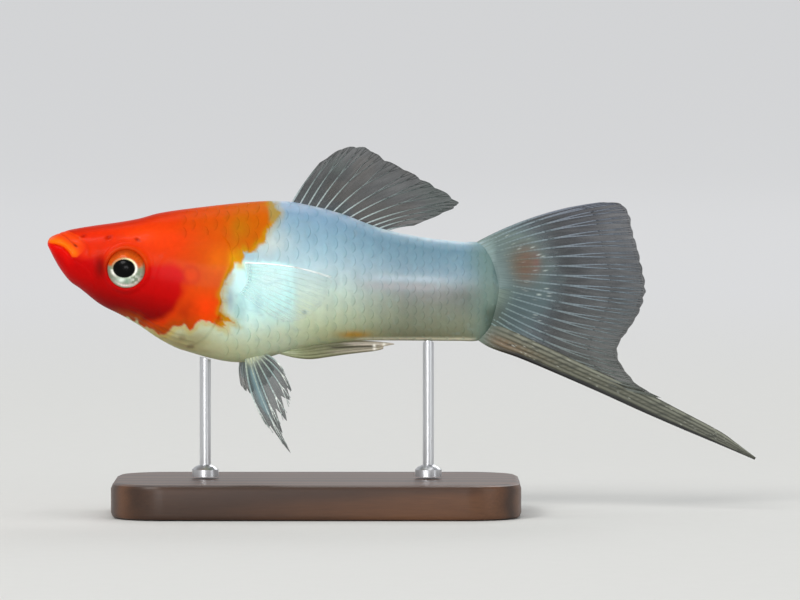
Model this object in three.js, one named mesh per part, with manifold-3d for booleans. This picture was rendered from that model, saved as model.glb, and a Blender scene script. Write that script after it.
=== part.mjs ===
// A life-size male swordtail of the red-headed white kind, swimming level, on a plain display stand.
// Units are millimetres. The snout points along -X, the back along +Z, and the fish's left side along -Y.
// Inside the fish, x is counted back from the tip of the snout and z up from it. The whole is placed so that
// the centre of the stand's underside is the origin.
import * as THREE from "three";
import { mergeVertices } from "three/addons/utils/BufferGeometryUtils.js";
import Module from "manifold-3d";

const wasm = await Module();
wasm.setup();
const { clamp, smoothstep } = THREE.MathUtils;

// Driving dimensions
const GAP = 0.3; // clearance between neighbouring pieces
const BODY_LENGTH = 64.4; // snout to the rounded end of the tail stalk
const RINGS = 36; // sections of the body from end to end
const SIDES = 26; // corners of a section
const FIN_HALF = 0.25; // half the thickness of a fin's membrane
const RAY_HEIGHT = 0.22; // rise of a ray above the membrane
const PER_RAY = 3; // steps across a fin from one ray to the next
const EYE = { x: 11.3, z: -3.55, radius: 2.7, depth: 2.0, proud: 0.62 };
const STAND = { x: 38.3, top: -33.6, length: 58, width: 34, thickness: 5, corner: 7, bevel: 0.8 };
const ROD = { radius: 0.8, front: 22.4, rear: 54.2, collar: 1.9, collarHeight: 1.4 };

// The body's lines, as [x, z] or [x, size] points from the snout to the end of the tail stalk.
const BACK = [
  [0, 0.25], [0.3, 0.75], [1, 1.15], [2.4, 1.7], [4.5, 2.15], [7.4, 2.6], [10.3, 3.0], [13, 3.5],
  [16, 4.3], [21.7, 5.1], [28.8, 5.85], [33, 6.0], [36, 5.65], [41.6, 4.25], [47.3, 2.15],
  [53, 0.9], [58.7, 0.2], [61.5, 0.1], [62.5, -0.5], [63.4, -1.8], [64, -3.7], [64.4, -6.2],
];
const BELLY = [
  [0, -0.35], [0.3, -1.0], [0.9, -2.2], [1.7, -3.6], [3.1, -5.4], [4.6, -6.5], [7.4, -8.7],
  [10.3, -10.2], [13.1, -11.8], [15.5, -13.45], [17.9, -14.75], [20.3, -15.6], [24.5, -16.7],
  [27.5, -17.0], [30.5, -16.5], [34.5, -15.4], [38.8, -14.5], [44.5, -13.95], [50, -13.9],
  [58.7, -13.95], [61.3, -13.9], [62.4, -13.1], [63.3, -11.5], [64, -9.3], [64.4, -6.9],
];
const HALF_WIDTH = [
  [0, 0.9], [0.3, 1.6], [0.9, 2.15], [1.8, 2.55], [3, 2.85], [5, 3.25], [8, 3.75], [11.3, 4.25],
  [15, 4.85], [20, 5.45], [25, 5.75], [29, 5.75], [34, 5.3], [41, 4.4], [48, 3.4], [55, 2.4],
  [60, 1.7], [62, 1.35], [63.4, 1.0], [64.1, 0.7], [64.4, 0.25],
];
const WIDEST_AT = [
  [0, -0.1], [3, -1.6], [8, -3.0], [14, -4.6], [20, -5.8], [30, -6.4], [45, -6.3], [64.4, -6.6],
];
const SQUARE_ABOVE = [[0, 2.2], [6, 2.7], [12, 2.6], [20, 2.2], [40, 2.1], [64.4, 2.0]];
const SQUARE_BELOW = [[0, 2.0], [8, 1.75], [16, 1.8], [25, 2.0], [40, 1.9], [64.4, 2.0]];

// Lines on the side of the fish, from which the body is parted
const MOUTH_CORNER = [4.3, -2.05];
const MOUTH_LINE = [[-3, 0.35], [0, -0.25], [2, -0.85], MOUTH_CORNER];
const JAW_BACK = [[8.2, -8.0], [9.5, -14]];
const GILL_LINE = [
  [21.5, 12], [22.6, 7], [23.9, 3], [25.8, 0], [26.9, -2.4], [26.5, -5.3], [25.8, -8.1], [24.6, -10.9],
  [22.2, -13.5], [18.8, -16.4], [16, -20],
];
const STALK_LINE = [[47.6, 12], [49.2, 0], [49.8, -7], [49.2, -14], [47.6, -24]];
const COVER_FRONT = [
  [28, 0.4], [20, 0.2], [16.4, -1.6], [14.9, -5.4], [15.6, -9.6], [18.2, -12.8], [21.5, -14.6],
];

const COLOURS = {
  head: [0xd63a0a, 0.35], jaw: [0xb8140a, 0.35], gill_cover: [0xcf2208, 0.32], trunk: [0xbfd6dc, 0.3],
  tail_stalk: [0x9fabad, 0.3], fin: [0x6d757a, 0.4], sword: [0xa7a38a, 0.4], eye: [0x15130f, 0.1],
  stand_base: [0x4b2f1d, 0.45], stand_rod: [0xb9bdc2, 0.25, 0.9],
};

// Value of a line of [x, value] points at x: a smooth cubic through the points.
function along(line, x) {
  const last = line.length - 1;
  const after = line.findIndex((point) => point[0] > x);
  const i = Math.min(Math.max((after < 0 ? last : after) - 1, 0), last - 1);
  const rise = (a, b) => (line[b][1] - line[a][1]) / (line[b][0] - line[a][0]);
  const slope = (k) => rise(Math.max(k - 1, 0), Math.min(k + 1, last));
  const width = line[i + 1][0] - line[i][0];
  const t = clamp((x - line[i][0]) / width, 0, 1);
  const t2 = t * t;
  const t3 = t2 * t;
  return (
    (2 * t3 - 3 * t2 + 1) * line[i][1] + (t3 - 2 * t2 + t) * width * slope(i) +
    (3 * t2 - 2 * t3) * line[i + 1][1] + (t3 - t2) * width * slope(i + 1)
  );
}

// Point of a list of [x, z] control points at a share of the way along it, as a smooth curve.
function curvePoint(points, share) {
  const spread = points.map((point, i) => i / (points.length - 1));
  return [0, 1].map((axis) => along(points.map((point, i) => [spread[i], point[axis]]), share));
}

// Solids

// Faces over a list of points as a solid, turned to face outwards.
function closed(points, faces) {
  const corner = new THREE.Vector3();
  const volume = faces.reduce(
    (sum, [a, b, c]) => sum + points[a].dot(corner.crossVectors(points[b], points[c])), 0);
  const turned = volume < 0 ? faces.map(([a, b, c]) => [a, c, b]) : faces;
  return new wasm.Manifold(new wasm.Mesh({
    numProp: 3,
    vertProperties: new Float32Array(points.flatMap((point) => point.toArray())),
    triVerts: new Uint32Array(turned.flat()),
  }));
}

// A three.js geometry as a solid.
function solid(geometry) {
  const bare = new THREE.BufferGeometry();
  bare.setAttribute("position", geometry.getAttribute("position"));
  bare.setIndex(geometry.index);
  const merged = mergeVertices(bare, 1e-4);
  const position = merged.getAttribute("position");
  const corner = (_, i) => new THREE.Vector3().fromBufferAttribute(position, i);
  const points = Array.from({ length: position.count }, corner);
  const index = Array.from(merged.index.array);
  const faces = Array.from({ length: index.length / 3 }, (_, i) => index.slice(3 * i, 3 * i + 3));
  return closed(points, faces.filter(([a, b, c]) => a !== b && b !== c && a !== c));
}

// A surface through rings of points, closed by a fan over each end.
function loft(rings) {
  const sides = rings[0].length;
  const points = rings.flat();
  const faces = [];
  const at = (ring, side) => ring * sides + (side % sides);
  for (let ring = 0; ring + 1 < rings.length; ring++) {
    for (let side = 0; side < sides; side++) {
      faces.push([at(ring, side), at(ring + 1, side), at(ring + 1, side + 1)]);
      faces.push([at(ring, side), at(ring + 1, side + 1), at(ring, side + 1)]);
    }
  }
  for (const [ring, order] of [[0, 1], [rings.length - 1, -1]]) {
    const centre = rings[ring].reduce((sum, point) => sum.add(point), new THREE.Vector3());
    points.push(centre.divideScalar(sides));
    for (let side = 0; side < sides; side++) {
      const edge = [at(ring, side), at(ring, side + 1)];
      faces.push(order > 0 ? [points.length - 1, ...edge] : [points.length - 1, edge[1], edge[0]]);
    }
  }
  return closed(points, faces);
}

// A tube of changing radius through points, round in section.
function tube(path, radiusAt, sides = 7) {
  const curve = new THREE.CatmullRomCurve3(path);
  const steps = 20;
  const frames = curve.computeFrenetFrames(steps);
  const rings = Array.from({ length: steps + 1 }, (_, i) => {
    const centre = curve.getPointAt(i / steps);
    return Array.from({ length: sides }, (_unused, k) => {
      const turn = (2 * Math.PI * k) / sides;
      return centre.clone()
        .addScaledVector(frames.normals[i], radiusAt(i / steps) * Math.cos(turn))
        .addScaledVector(frames.binormals[i], radiusAt(i / steps) * Math.sin(turn));
    });
  });
  return loft(rings);
}

function ellipsoid(centre, radii, around = 20, down = 10) {
  const made = new THREE.SphereGeometry(1, around, down).scale(...radii);
  return solid(made.translate(...centre));
}

// The region inside an outline of [x, z] points, right across the fish.
function prism(outline) {
  const across = 60;
  const shape = new THREE.Shape(outline.map(([x, z]) => new THREE.Vector2(x, z)));
  const made = new THREE.ExtrudeGeometry(shape, { depth: across, bevelEnabled: false });
  return solid(made.rotateX(Math.PI / 2).translate(0, across / 2, 0));
}

// A line of [x, z] points drawn finely and moved sideways, to the right of its direction.
function drawn(line, shift = 0, steps = 24) {
  const points = Array.from({ length: steps + 1 }, (_, i) => curvePoint(line, i / steps));
  return points.map(([x, z], i) => {
    const [before, after] = [points[Math.max(i - 1, 0)], points[Math.min(i + 1, steps)]];
    const [dx, dz] = [after[0] - before[0], after[1] - before[1]];
    const size = Math.hypot(dx, dz);
    return [x + (shift * dz) / size, z - (shift * dx) / size];
  });
}

// Everything in front of a line that runs down the fish, or behind it, keeping half a gap clear of it.
const inFrontOf = (line) => prism([...drawn(line, GAP / 2), [-40, -60], [-40, 60]]);
const behind = (line) => prism([...drawn(line, -GAP / 2), [140, -60], [140, 60]]);

function largest(made) {
  return made.decompose().sort((a, b) => b.volume() - a.volume())[0];
}

// A named mesh of a solid, placed by its position from its own root point.
function piece(name, made, root = [0, 0, 0], colour = name) {
  const mesh = largest(made).getMesh();
  const geometry = new THREE.BufferGeometry();
  geometry.setAttribute("position", new THREE.BufferAttribute(mesh.vertProperties, 3));
  geometry.setIndex(new THREE.BufferAttribute(mesh.triVerts, 1));
  geometry.translate(-root[0], -root[1], -root[2]);
  geometry.computeVertexNormals();
  const [color, roughness, metalness = 0] = COLOURS[colour];
  const material = new THREE.MeshStandardMaterial({ color, roughness, metalness });
  const placed = new THREE.Mesh(geometry, material);
  placed.name = name;
  placed.position.set(...root);
  return placed;
}

// Body

// A point of the skin at a place along the fish and a turn round it, which is 0 at the back.
function skinPoint(x, turn) {
  const widest = along(WIDEST_AT, x);
  const up = Math.cos(turn);
  const out = Math.sin(turn);
  const reach = up > 0 ? along(BACK, x) - widest : widest - along(BELLY, x);
  const power = 2 / along(up > 0 ? SQUARE_ABOVE : SQUARE_BELOW, x);
  return new THREE.Vector3(
    x,
    -along(HALF_WIDTH, x) * Math.sign(out) * Math.abs(out) ** power,
    widest + reach * Math.sign(up) * Math.abs(up) ** power,
  );
}

// Distance of the skin from the fish's middle plane at a point of the side view.
function skinWidth(x, z) {
  const widest = along(WIDEST_AT, x);
  const above = z > widest;
  const reach = above ? along(BACK, x) - widest : widest - along(BELLY, x);
  const share = Math.min(Math.abs(z - widest) / reach, 1);
  const power = along(above ? SQUARE_ABOVE : SQUARE_BELOW, x);
  return along(HALF_WIDTH, x) * (1 - share ** power) ** (1 / power);
}

// The whole body, grown or shrunk by a distance along its normals.
function body(growth) {
  const step = 0.02;
  const rings = Array.from({ length: RINGS + 1 }, (_, ring) => {
    const x = (BODY_LENGTH * (1 - Math.cos((Math.PI * ring) / RINGS))) / 2;
    const ahead = clamp(x, step, BODY_LENGTH - step);
    return Array.from({ length: SIDES }, (_unused, side) => {
      const turn = (2 * Math.PI * (side + 0.5)) / SIDES;
      const forward = skinPoint(ahead + step, turn).sub(skinPoint(ahead - step, turn));
      const round = skinPoint(x, turn + step).sub(skinPoint(x, turn - step));
      const normal = round.cross(forward).normalize();
      return skinPoint(x, turn).addScaledVector(normal, growth);
    });
  });
  return loft(rings);
}

const whole = body(0);
const cleared = body(GAP);

// Both lips follow the line of the mouth round the snout, one above it and one below.
function lip(lift, thickness) {
  const steps = 10;
  const proud = 0.12;
  const front = thickness - proud;
  const radius = (share) => thickness * (0.4 + 0.6 * Math.sin(Math.PI * share));
  const path = Array.from({ length: steps + 1 }, (_, i) => {
    const swing = (Math.PI / 2) * ((2 * i) / steps - 1);
    const x = front + (MOUTH_CORNER[0] - front) * (1 - Math.cos(swing));
    const z = along(MOUTH_LINE, x) + lift;
    const width = skinWidth(x, z) - radius(i / steps) + proud;
    return new THREE.Vector3(x, Math.sign(2 * i - steps) * width, z);
  });
  return tube(path, radius);
}

function eyeCentre(side) {
  return [EYE.x, side * (skinWidth(EYE.x, EYE.z) + EYE.proud - EYE.depth), EYE.z];
}

// The eyeball with the bulge of its cornea over the pupil.
function eyeball(side) {
  const [x, y, z] = eyeCentre(side);
  const ball = ellipsoid([x, y, z], [EYE.radius, EYE.depth, EYE.radius]);
  const cornea = ellipsoid([x - 0.15, y + side * (EYE.depth - 0.5), z + 0.1], [1.5, 0.85, 1.5], 16, 8);
  return ball.add(cornea);
}

function socket(side) {
  return ellipsoid(eyeCentre(side), [EYE.radius + GAP, EYE.depth + GAP, EYE.radius + GAP]);
}

// The low ring of skin round the eye.
function orbitRim(side) {
  const ring = new THREE.TorusGeometry(EYE.radius + 0.28, 0.36, 5, 22);
  ring.rotateX(Math.PI / 2).rotateZ(side * 0.13);
  return solid(ring.translate(EYE.x, side * (skinWidth(EYE.x, EYE.z) - 0.14), EYE.z));
}

function nostril(side, x, z, radius) {
  return ellipsoid([x, side * (skinWidth(x, z) + 0.05), z], [radius * 1.3, radius * 1.5, radius], 10, 6);
}

const SIDES_OF_FISH = [["left", -1], ["right", 1]];

// The jaw lies under the line of the mouth and ahead of the throat.
function jawRegion(shift) {
  const throat = JAW_BACK.map(([x, z]) => [x - shift, z]);
  return prism([...drawn(MOUTH_LINE, shift, 8), ...throat, [-10, -14]]);
}

function coverRegion(shift) {
  return prism(drawn([...COVER_FRONT, [30, -14.6], [30, 0.4], COVER_FRONT[0]], shift, 40));
}

function makeLowerJaw() {
  const made = whole.intersect(jawRegion(GAP / 2));
  return made.add(lip(-0.5, 0.36).intersect(jawRegion(GAP / 2)));
}

function makeHead() {
  const recess = coverRegion(GAP).subtract(body(-0.9 - GAP));
  let made = whole.intersect(inFrontOf(GILL_LINE)).add(lip(0.52, 0.44));
  for (const [, side] of SIDES_OF_FISH) {
    made = made.add(orbitRim(side)).subtract(socket(side));
    made = made.subtract(nostril(side, 4.6, 1.05, 0.24)).subtract(nostril(side, 7.6, 0.75, 0.3));
  }
  return made.subtract(jawRegion(-GAP / 2)).subtract(recess);
}

// A gill cover is a plate that stands a little proud of the head, with its rear edge on the gill opening.
function makeGillCover(side) {
  const plate = body(0.2).subtract(body(-0.9)).intersect(coverRegion(0)).intersect(inFrontOf(GILL_LINE));
  const half = new THREE.BoxGeometry(200, 60, 120).translate(0, side * 30.5, 0);
  return plate.intersect(solid(half));
}

const makeTrunk = () => whole.intersect(behind(GILL_LINE)).intersect(inFrontOf(STALK_LINE));
const makeTailStalk = () => whole.intersect(behind(STALK_LINE));

// Fins

// A thin sheet on a grid of points of its middle surface, with a face on each side and a rim all round.
// Both faces are split into triangles alike.
function sheet(columns, rows, middle, halfThickness) {
  const small = 0.004;
  const points = [];
  const faces = [];
  for (const side of [-1, 1]) {
    for (let column = 0; column <= columns; column++) {
      for (let row = 0; row <= rows; row++) {
        const [u, v] = [column / columns, row / rows];
        const [u0, u1] = [Math.max(u - small, 0), Math.min(u + small, 1)];
        const [v0, v1] = [Math.max(v - small, 0), Math.min(v + small, 1)];
        const across = middle(u1, v).sub(middle(u0, v));
        const out = middle(u, v1).sub(middle(u, v0));
        const normal = across.cross(out).normalize();
        points.push(middle(u, v).addScaledVector(normal, side * halfThickness(u, v, column)));
      }
    }
  }
  const at = (face, column, row) => (face * (columns + 1) + column) * (rows + 1) + row;
  const quad = (a, b, c, d) => faces.push([a, b, c], [a, c, d]);
  for (let column = 0; column < columns; column++) {
    for (let row = 0; row < rows; row++) {
      const corners = [[column, row], [column + 1, row], [column + 1, row + 1], [column, row + 1]];
      quad(...corners.map((corner) => at(1, ...corner)));
      const [a, b, c, d] = corners.map((corner) => at(0, ...corner));
      faces.push([a, c, b], [a, d, c]);
    }
  }
  for (let row = 0; row < rows; row++) {
    quad(at(0, 0, row), at(1, 0, row), at(1, 0, row + 1), at(0, 0, row + 1));
    quad(at(1, columns, row), at(0, columns, row), at(0, columns, row + 1), at(1, columns, row + 1));
  }
  for (let column = 0; column < columns; column++) {
    quad(at(1, column, 0), at(0, column, 0), at(0, column + 1, 0), at(1, column + 1, 0));
    quad(at(0, column, rows), at(1, column, rows), at(1, column + 1, rows), at(0, column + 1, rows));
  }
  return closed(points, faces);
}

// How near a place across a fin is to one of its rays: 1 on the ray, 0 on the membrane.
function onRay(u, rays) {
  const place = u * (rays - 1);
  return Math.max(0, 1 - Math.abs(place - Math.round(place)) * PER_RAY);
}

// A fin of rays between a line of roots and a line of tips. The rays are ridges of the membrane's own
// surface, and the membrane falls a little short of their tips. bow bends the rays in their plane, as a share
// of their length, and depth gives the fin's place across the fish.
function fin({ rays, rows, roots, tips, depth, bow = () => 0, notch = 0.03, root = 0.3 }) {
  const middle = (u, v) => {
    const [x0, z0] = curvePoint(roots, u);
    const [x1, z1] = curvePoint(tips, u);
    const far = v * (1 - notch * (1 - onRay(u, rays)));
    const bend = 4 * far * (1 - far) * bow(u);
    const x = x0 + (x1 - x0) * far - (z1 - z0) * bend;
    const z = z0 + (z1 - z0) * far + (x1 - x0) * bend;
    return new THREE.Vector3(x, depth(u, v), z);
  };
  const half = (u, v) => {
    const swell = root * (1 - smoothstep(v, 0, 0.2));
    return FIN_HALF + swell + RAY_HEIGHT * (1 - 0.65 * v) * onRay(u, rays);
  };
  return sheet((rays - 1) * PER_RAY, rows, middle, half);
}

// A long blade between an upper and a lower line, with its rays as ridges along it.
function blade({ above, below, rays, rows, thickness, sweep = () => 0, grown = 0 }) {
  const middle = (u, v) => {
    const [a, b] = [curvePoint(above, v), curvePoint(below, v)];
    const x = a[0] + (b[0] - a[0]) * u;
    const z = a[1] + grown + (b[1] - a[1] - 2 * grown) * u;
    return new THREE.Vector3(x, sweep(x), z);
  };
  const half = (u, v) => grown + thickness(v) + RAY_HEIGHT * (1 - 0.7 * v) * onRay(u, rays);
  return sheet((rays - 1) * PER_RAY, rows, middle, half);
}

const backAt = (x, sink) => [x, along(BACK, x) - sink];
const bellyAt = (x, sink) => [x, along(BELLY, x) + sink];

function makeDorsalFin() {
  return fin({
    rays: 13,
    rows: 5,
    roots: [34.6, 38, 41.5, 44.8, 47.6].map((x) => backAt(x, 0.7)),
    tips: [
      [38.8, 11.5], [42.0, 13.5], [45.2, 13.7], [48.2, 11.9], [52.3, 9.8], [55.4, 7.9], [58.5, 5.7],
      [56.4, 4.3], [52.2, 2.5],
    ],
    bow: (u) => 0.07 * (1 - 1.4 * u),
    depth: (u, v) => 0.5 * v * v * Math.sin(3 * u + 0.4),
    notch: 0.05,
  }).subtract(cleared);
}

// The caudal fin bends a little to the right, and the sword with it.
const tailSweep = (x) => 0.0011 * Math.max(x - 62, 0) ** 2;

// The sword is the long lower point of the tail.
const sword = (grown) => blade({
  above: [
    [62.0, -10.9], [64.4, -11.7], [71.5, -15.0], [78.7, -18.4], [84.4, -20.9], [90, -23.8], [95.8, -26.9],
    [98.2, -28.6], [101.0, -30.7],
  ],
  below: [
    [60.6, -13.4], [63, -14.9], [67.3, -16.45], [73, -18.85], [78.7, -21.35], [84.4, -23.95], [90, -26.4],
    [95.8, -28.85], [100.8, -31.0],
  ],
  rays: 5,
  rows: 14,
  thickness: (v) => 0.55 - 0.25 * smoothstep(v, 0.05, 0.9),
  sweep: tailSweep,
  grown,
});

const makeSword = () => sword(0).subtract(cleared);

function makeCaudalFin() {
  return fin({
    rays: 16,
    rows: 6,
    roots: [[60.9, -0.2], [62.5, -1.5], [63.4, -4.0], [63.7, -6.6], [63.2, -9.2], [62.0, -11.4]],
    tips: [
      [79.1, 5.8], [81.6, 5.6], [82.9, 4.1], [83.3, 2.0], [83.9, -0.2], [84.5, -2.4], [84.9, -4.6],
      [85.2, -6.8], [84.7, -8.8], [83.9, -10.6], [82.7, -12.5], [81.5, -14.2], [81.2, -16.2], [82.4, -18.3],
      [84.2, -20.3], [87.4, -22.1],
    ],
    bow: (u) => 0.05 - 0.1 * smoothstep(u, 0, 0.9),
    depth: (u, v) => tailSweep(62 + 22 * v) + 0.35 * Math.sin(5 * u) * v * v,
    notch: 0.035,
    root: 0.4,
  }).subtract(cleared).subtract(sword(GAP));
}

// The gonopodium is the male's anal fin, a folded blade that lies back along the belly.
function makeGonopodium() {
  return blade({
    above: [
      [33.4, -15.2], [36, -14.7], [39, -14.2], [42, -14.0], [45, -13.95], [47.5, -14.1], [49.2, -14.3],
    ],
    below: [
      [32.9, -15.8], [35.2, -16.35], [37.5, -16.55], [39.9, -16.25], [43, -15.85], [46.6, -15.35],
      [49.4, -14.6],
    ],
    rays: 4,
    rows: 10,
    thickness: (v) => 0.95 - 0.6 * smoothstep(v, 0.05, 0.55),
  }).subtract(cleared);
}

function makePectoralFin(side) {
  return fin({
    rays: 10,
    rows: 5,
    roots: [[27.0, -3.0], [27.3, -4.1], [27.3, -5.3], [26.9, -6.4]],
    tips: [
      [40.6, -5.0], [40.4, -6.3], [39.8, -7.7], [38.8, -9.0], [37.4, -10.1], [35.7, -10.8], [33.8, -11.0],
    ],
    bow: (u) => 0.045 * (1 - 1.6 * u),
    depth: (u, v) => side * (4.7 + 1.75 * smoothstep(v, 0, 0.16) + 1.5 * v + 0.5 * v * v),
    root: 0.2,
  }).subtract(cleared);
}

// The near pelvic fin hangs down and back to a long tip; the far one is held out to its side.
const PELVIC = {
  left: {
    roots: [[28.2, -16.0], [29.4, -15.9], [30.7, -15.7]],
    tips: [
      [31.4, -26.2], [34.6, -29.8], [33.4, -26.6], [33.9, -24.7], [34.6, -22.6], [34.6, -20.4], [33.6, -17.9],
    ],
    spread: 3.0,
  },
  right: {
    roots: [[27.6, -16.0], [28.6, -15.9], [29.7, -15.8]],
    tips: [
      [27.3, -20.9], [27.9, -21.6], [28.7, -21.9], [29.8, -21.5], [30.8, -20.7], [31.5, -19.8], [32.0, -18.6],
    ],
    spread: 9.5,
  },
};

function makePelvicFin(name, side) {
  const { roots, tips, spread } = PELVIC[name];
  return fin({
    rays: 7,
    rows: 6,
    roots,
    tips,
    bow: (u) => -0.07 + 0.16 * u,
    depth: (u, v) => side * (1.5 + spread * v),
    notch: 0.08,
  }).subtract(cleared);
}

// Stand

function makeStandBase() {
  const { length, width, corner, bevel, thickness } = STAND;
  const [x, y] = [length / 2 - bevel, width / 2 - bevel];
  const shape = new THREE.Shape();
  const corners = [[x, y, 0], [-x, y, 1], [-x, -y, 2], [x, -y, 3]];
  for (const [cornerX, cornerY, quarter] of corners) {
    const [cx, cy] = [cornerX - Math.sign(cornerX) * corner, cornerY - Math.sign(cornerY) * corner];
    shape.absarc(cx, cy, corner, (quarter * Math.PI) / 2, ((quarter + 1) * Math.PI) / 2);
  }
  const plate = new THREE.ExtrudeGeometry(shape, {
    depth: thickness - 2 * bevel, bevelThickness: bevel, bevelSize: bevel, bevelSegments: 2, curveSegments: 4,
  });
  return solid(plate.translate(STAND.x, 0, STAND.top - thickness + bevel));
}

// A rod with a collar where it meets the base. Its top follows the belly.
function makeRod(x) {
  const foot = STAND.top + GAP;
  const height = along(BELLY, x) + 1.5 - foot;
  const { radius, collar, collarHeight } = ROD;
  const profile = [
    [0, 0], [collar, 0], [collar, collarHeight - 0.4], [collar - 0.4, collarHeight],
    [radius, collarHeight + 0.3], [radius, height], [0, height],
  ];
  const turned = new THREE.LatheGeometry(profile.map(([r, z]) => new THREE.Vector2(r, z)), 16);
  return solid(turned.rotateX(Math.PI / 2).translate(x, 0, foot)).subtract(cleared);
}

// Assembly

const fish = new THREE.Group();
fish.add(piece("head", makeHead()));
fish.add(piece("lower_jaw", makeLowerJaw(), [0, 0, 0], "jaw"));
fish.add(piece("trunk", makeTrunk()));
fish.add(piece("tail_stalk", makeTailStalk(), [50, 0, -7]));
fish.add(piece("dorsal_fin", makeDorsalFin(), [34.6, 0, along(BACK, 34.6)], "fin"));
fish.add(piece("caudal_fin", makeCaudalFin(), [BODY_LENGTH, 0, -6], "fin"));
fish.add(piece("sword", makeSword(), [63, 0, -13]));
fish.add(piece("gonopodium", makeGonopodium(), [36.6, 0, -15.4], "fin"));
for (const [name, side] of SIDES_OF_FISH) {
  fish.add(piece(`eye_${name}`, eyeball(side), eyeCentre(side), "eye"));
  fish.add(piece(`gill_cover_${name}`, makeGillCover(side), [15, side * 5, -6], "gill_cover"));
  fish.add(piece(`pectoral_fin_${name}`, makePectoralFin(side), [27, side * 5.7, -4.7], "fin"));
  fish.add(piece(`pelvic_fin_${name}`, makePelvicFin(name, side), [29.4, side * 1.5, -16.5], "fin"));
}

const stand = new THREE.Group();
stand.add(piece("stand_base", makeStandBase(), [STAND.x, 0, STAND.top - STAND.thickness]));
stand.add(piece("stand_rod_front", makeRod(ROD.front), [ROD.front, 0, STAND.top], "stand_rod"));
stand.add(piece("stand_rod_rear", makeRod(ROD.rear), [ROD.rear, 0, STAND.top], "stand_rod"));

const model = new THREE.Group();
model.add(fish, stand);
model.position.set(-STAND.x, 0, STAND.thickness - STAND.top);

export default model;
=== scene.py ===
"""A male swordtail with a red head and a pale body, on its display stand.

The fish is worked out in millimetres in its own frame: x counts back from the tip of the snout, z up from
it, and y is negative on the fish's left side. to_row() turns that into the row's metres.
"""

import itertools
import math

import bpy
import numpy as np
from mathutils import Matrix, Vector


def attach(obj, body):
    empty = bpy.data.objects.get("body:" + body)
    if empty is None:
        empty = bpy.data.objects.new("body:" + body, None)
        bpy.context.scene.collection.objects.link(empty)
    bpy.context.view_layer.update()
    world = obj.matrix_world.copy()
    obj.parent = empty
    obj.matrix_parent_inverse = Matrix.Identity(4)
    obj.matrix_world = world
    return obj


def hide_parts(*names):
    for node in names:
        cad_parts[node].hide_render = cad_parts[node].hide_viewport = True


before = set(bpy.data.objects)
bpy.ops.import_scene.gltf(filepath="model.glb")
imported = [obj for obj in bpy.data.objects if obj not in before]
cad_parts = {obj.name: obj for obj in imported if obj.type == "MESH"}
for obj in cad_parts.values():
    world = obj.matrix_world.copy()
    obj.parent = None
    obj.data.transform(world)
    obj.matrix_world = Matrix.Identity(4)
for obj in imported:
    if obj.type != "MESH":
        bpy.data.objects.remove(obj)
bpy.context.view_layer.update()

random = np.random.default_rng(20)

ROW_ORIGIN = np.array([38.3, 0.0, -38.6])  # the row's origin in the fish's frame
LENGTH = 64.4  # snout to the rounded end of the tail stalk
SIDES = {"left": -1, "right": 1}

# The body's lines, as (x, z) or (x, size) points.
BACK = [
    (0, 0.25), (0.3, 0.75), (1, 1.15), (2.4, 1.7), (4.5, 2.15), (7.4, 2.6), (10.3, 3.0), (13, 3.5),
    (16, 4.3), (21.7, 5.1), (28.8, 5.85), (33, 6.0), (36, 5.65), (41.6, 4.25), (47.3, 2.15),
    (53, 0.9), (58.7, 0.2), (61.5, 0.1), (62.5, -0.5), (63.4, -1.8), (64, -3.7), (64.4, -6.2),
]
BELLY = [
    (0, -0.35), (0.3, -1.0), (0.9, -2.2), (1.7, -3.6), (3.1, -5.4), (4.6, -6.5), (7.4, -8.7),
    (10.3, -10.2), (13.1, -11.8), (15.5, -13.45), (17.9, -14.75), (20.3, -15.6), (24.5, -16.7),
    (27.5, -17.0), (30.5, -16.5), (34.5, -15.4), (38.8, -14.5), (44.5, -13.95), (50, -13.9),
    (58.7, -13.95), (61.3, -13.9), (62.4, -13.1), (63.3, -11.5), (64, -9.3), (64.4, -6.9),
]
HALF_WIDTH = [
    (0, 0.9), (0.3, 1.6), (0.9, 2.15), (1.8, 2.55), (3, 2.85), (5, 3.25), (8, 3.75), (11.3, 4.25),
    (15, 4.85), (20, 5.45), (25, 5.75), (29, 5.75), (34, 5.3), (41, 4.4), (48, 3.4), (55, 2.4),
    (60, 1.7), (62, 1.4), (63.4, 1.12), (64.1, 0.86), (64.4, 0.6),
]
WIDEST_AT = [
    (0, -0.1), (3, -1.6), (8, -3.0), (14, -4.6), (20, -5.8), (30, -6.4), (45, -6.3), (64.4, -6.6),
]
SQUARE_ABOVE = [(0, 2.2), (6, 2.7), (12, 2.6), (20, 2.2), (40, 2.1), (64.4, 2.0)]
SQUARE_BELOW = [(0, 2.0), (8, 1.75), (16, 1.8), (25, 2.0), (40, 1.9), (64.4, 2.0)]


# Numbers

def smooth(low, high, x):
    t = np.clip((np.asarray(x, float) - low) / (high - low), 0, 1)
    return t * t * (3 - 2 * t)


def fall(low, high, x):
    return 1 - smooth(low, high, x)


def bump(x, centre, width):
    return np.exp(-(((x - centre) / width) ** 2))


def spots(x, z):
    """A function that makes a soft spot of the side view from its x and width, and its z and height."""
    return lambda at, width, level, height: bump(x, at, width) * bump(z, level, height)


def along(line, x):
    """Value of a line of (x, value) points at x: a smooth cubic through the points."""
    at, value = np.array(line, float).T
    x = np.asarray(x, float)
    slope = np.empty_like(value)
    slope[1:-1] = (value[2:] - value[:-2]) / (at[2:] - at[:-2])
    slope[0] = (value[1] - value[0]) / (at[1] - at[0])
    slope[-1] = (value[-1] - value[-2]) / (at[-1] - at[-2])
    i = np.clip(np.searchsorted(at, x, side="right") - 1, 0, len(at) - 2)
    width = at[i + 1] - at[i]
    t = np.clip((x - at[i]) / width, 0, 1)
    return (
        (2 * t**3 - 3 * t**2 + 1) * value[i] + (t**3 - 2 * t**2 + t) * width * slope[i]
        + (3 * t**2 - 2 * t**3) * value[i + 1] + (t**3 - t**2) * width * slope[i + 1]
    )


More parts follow.
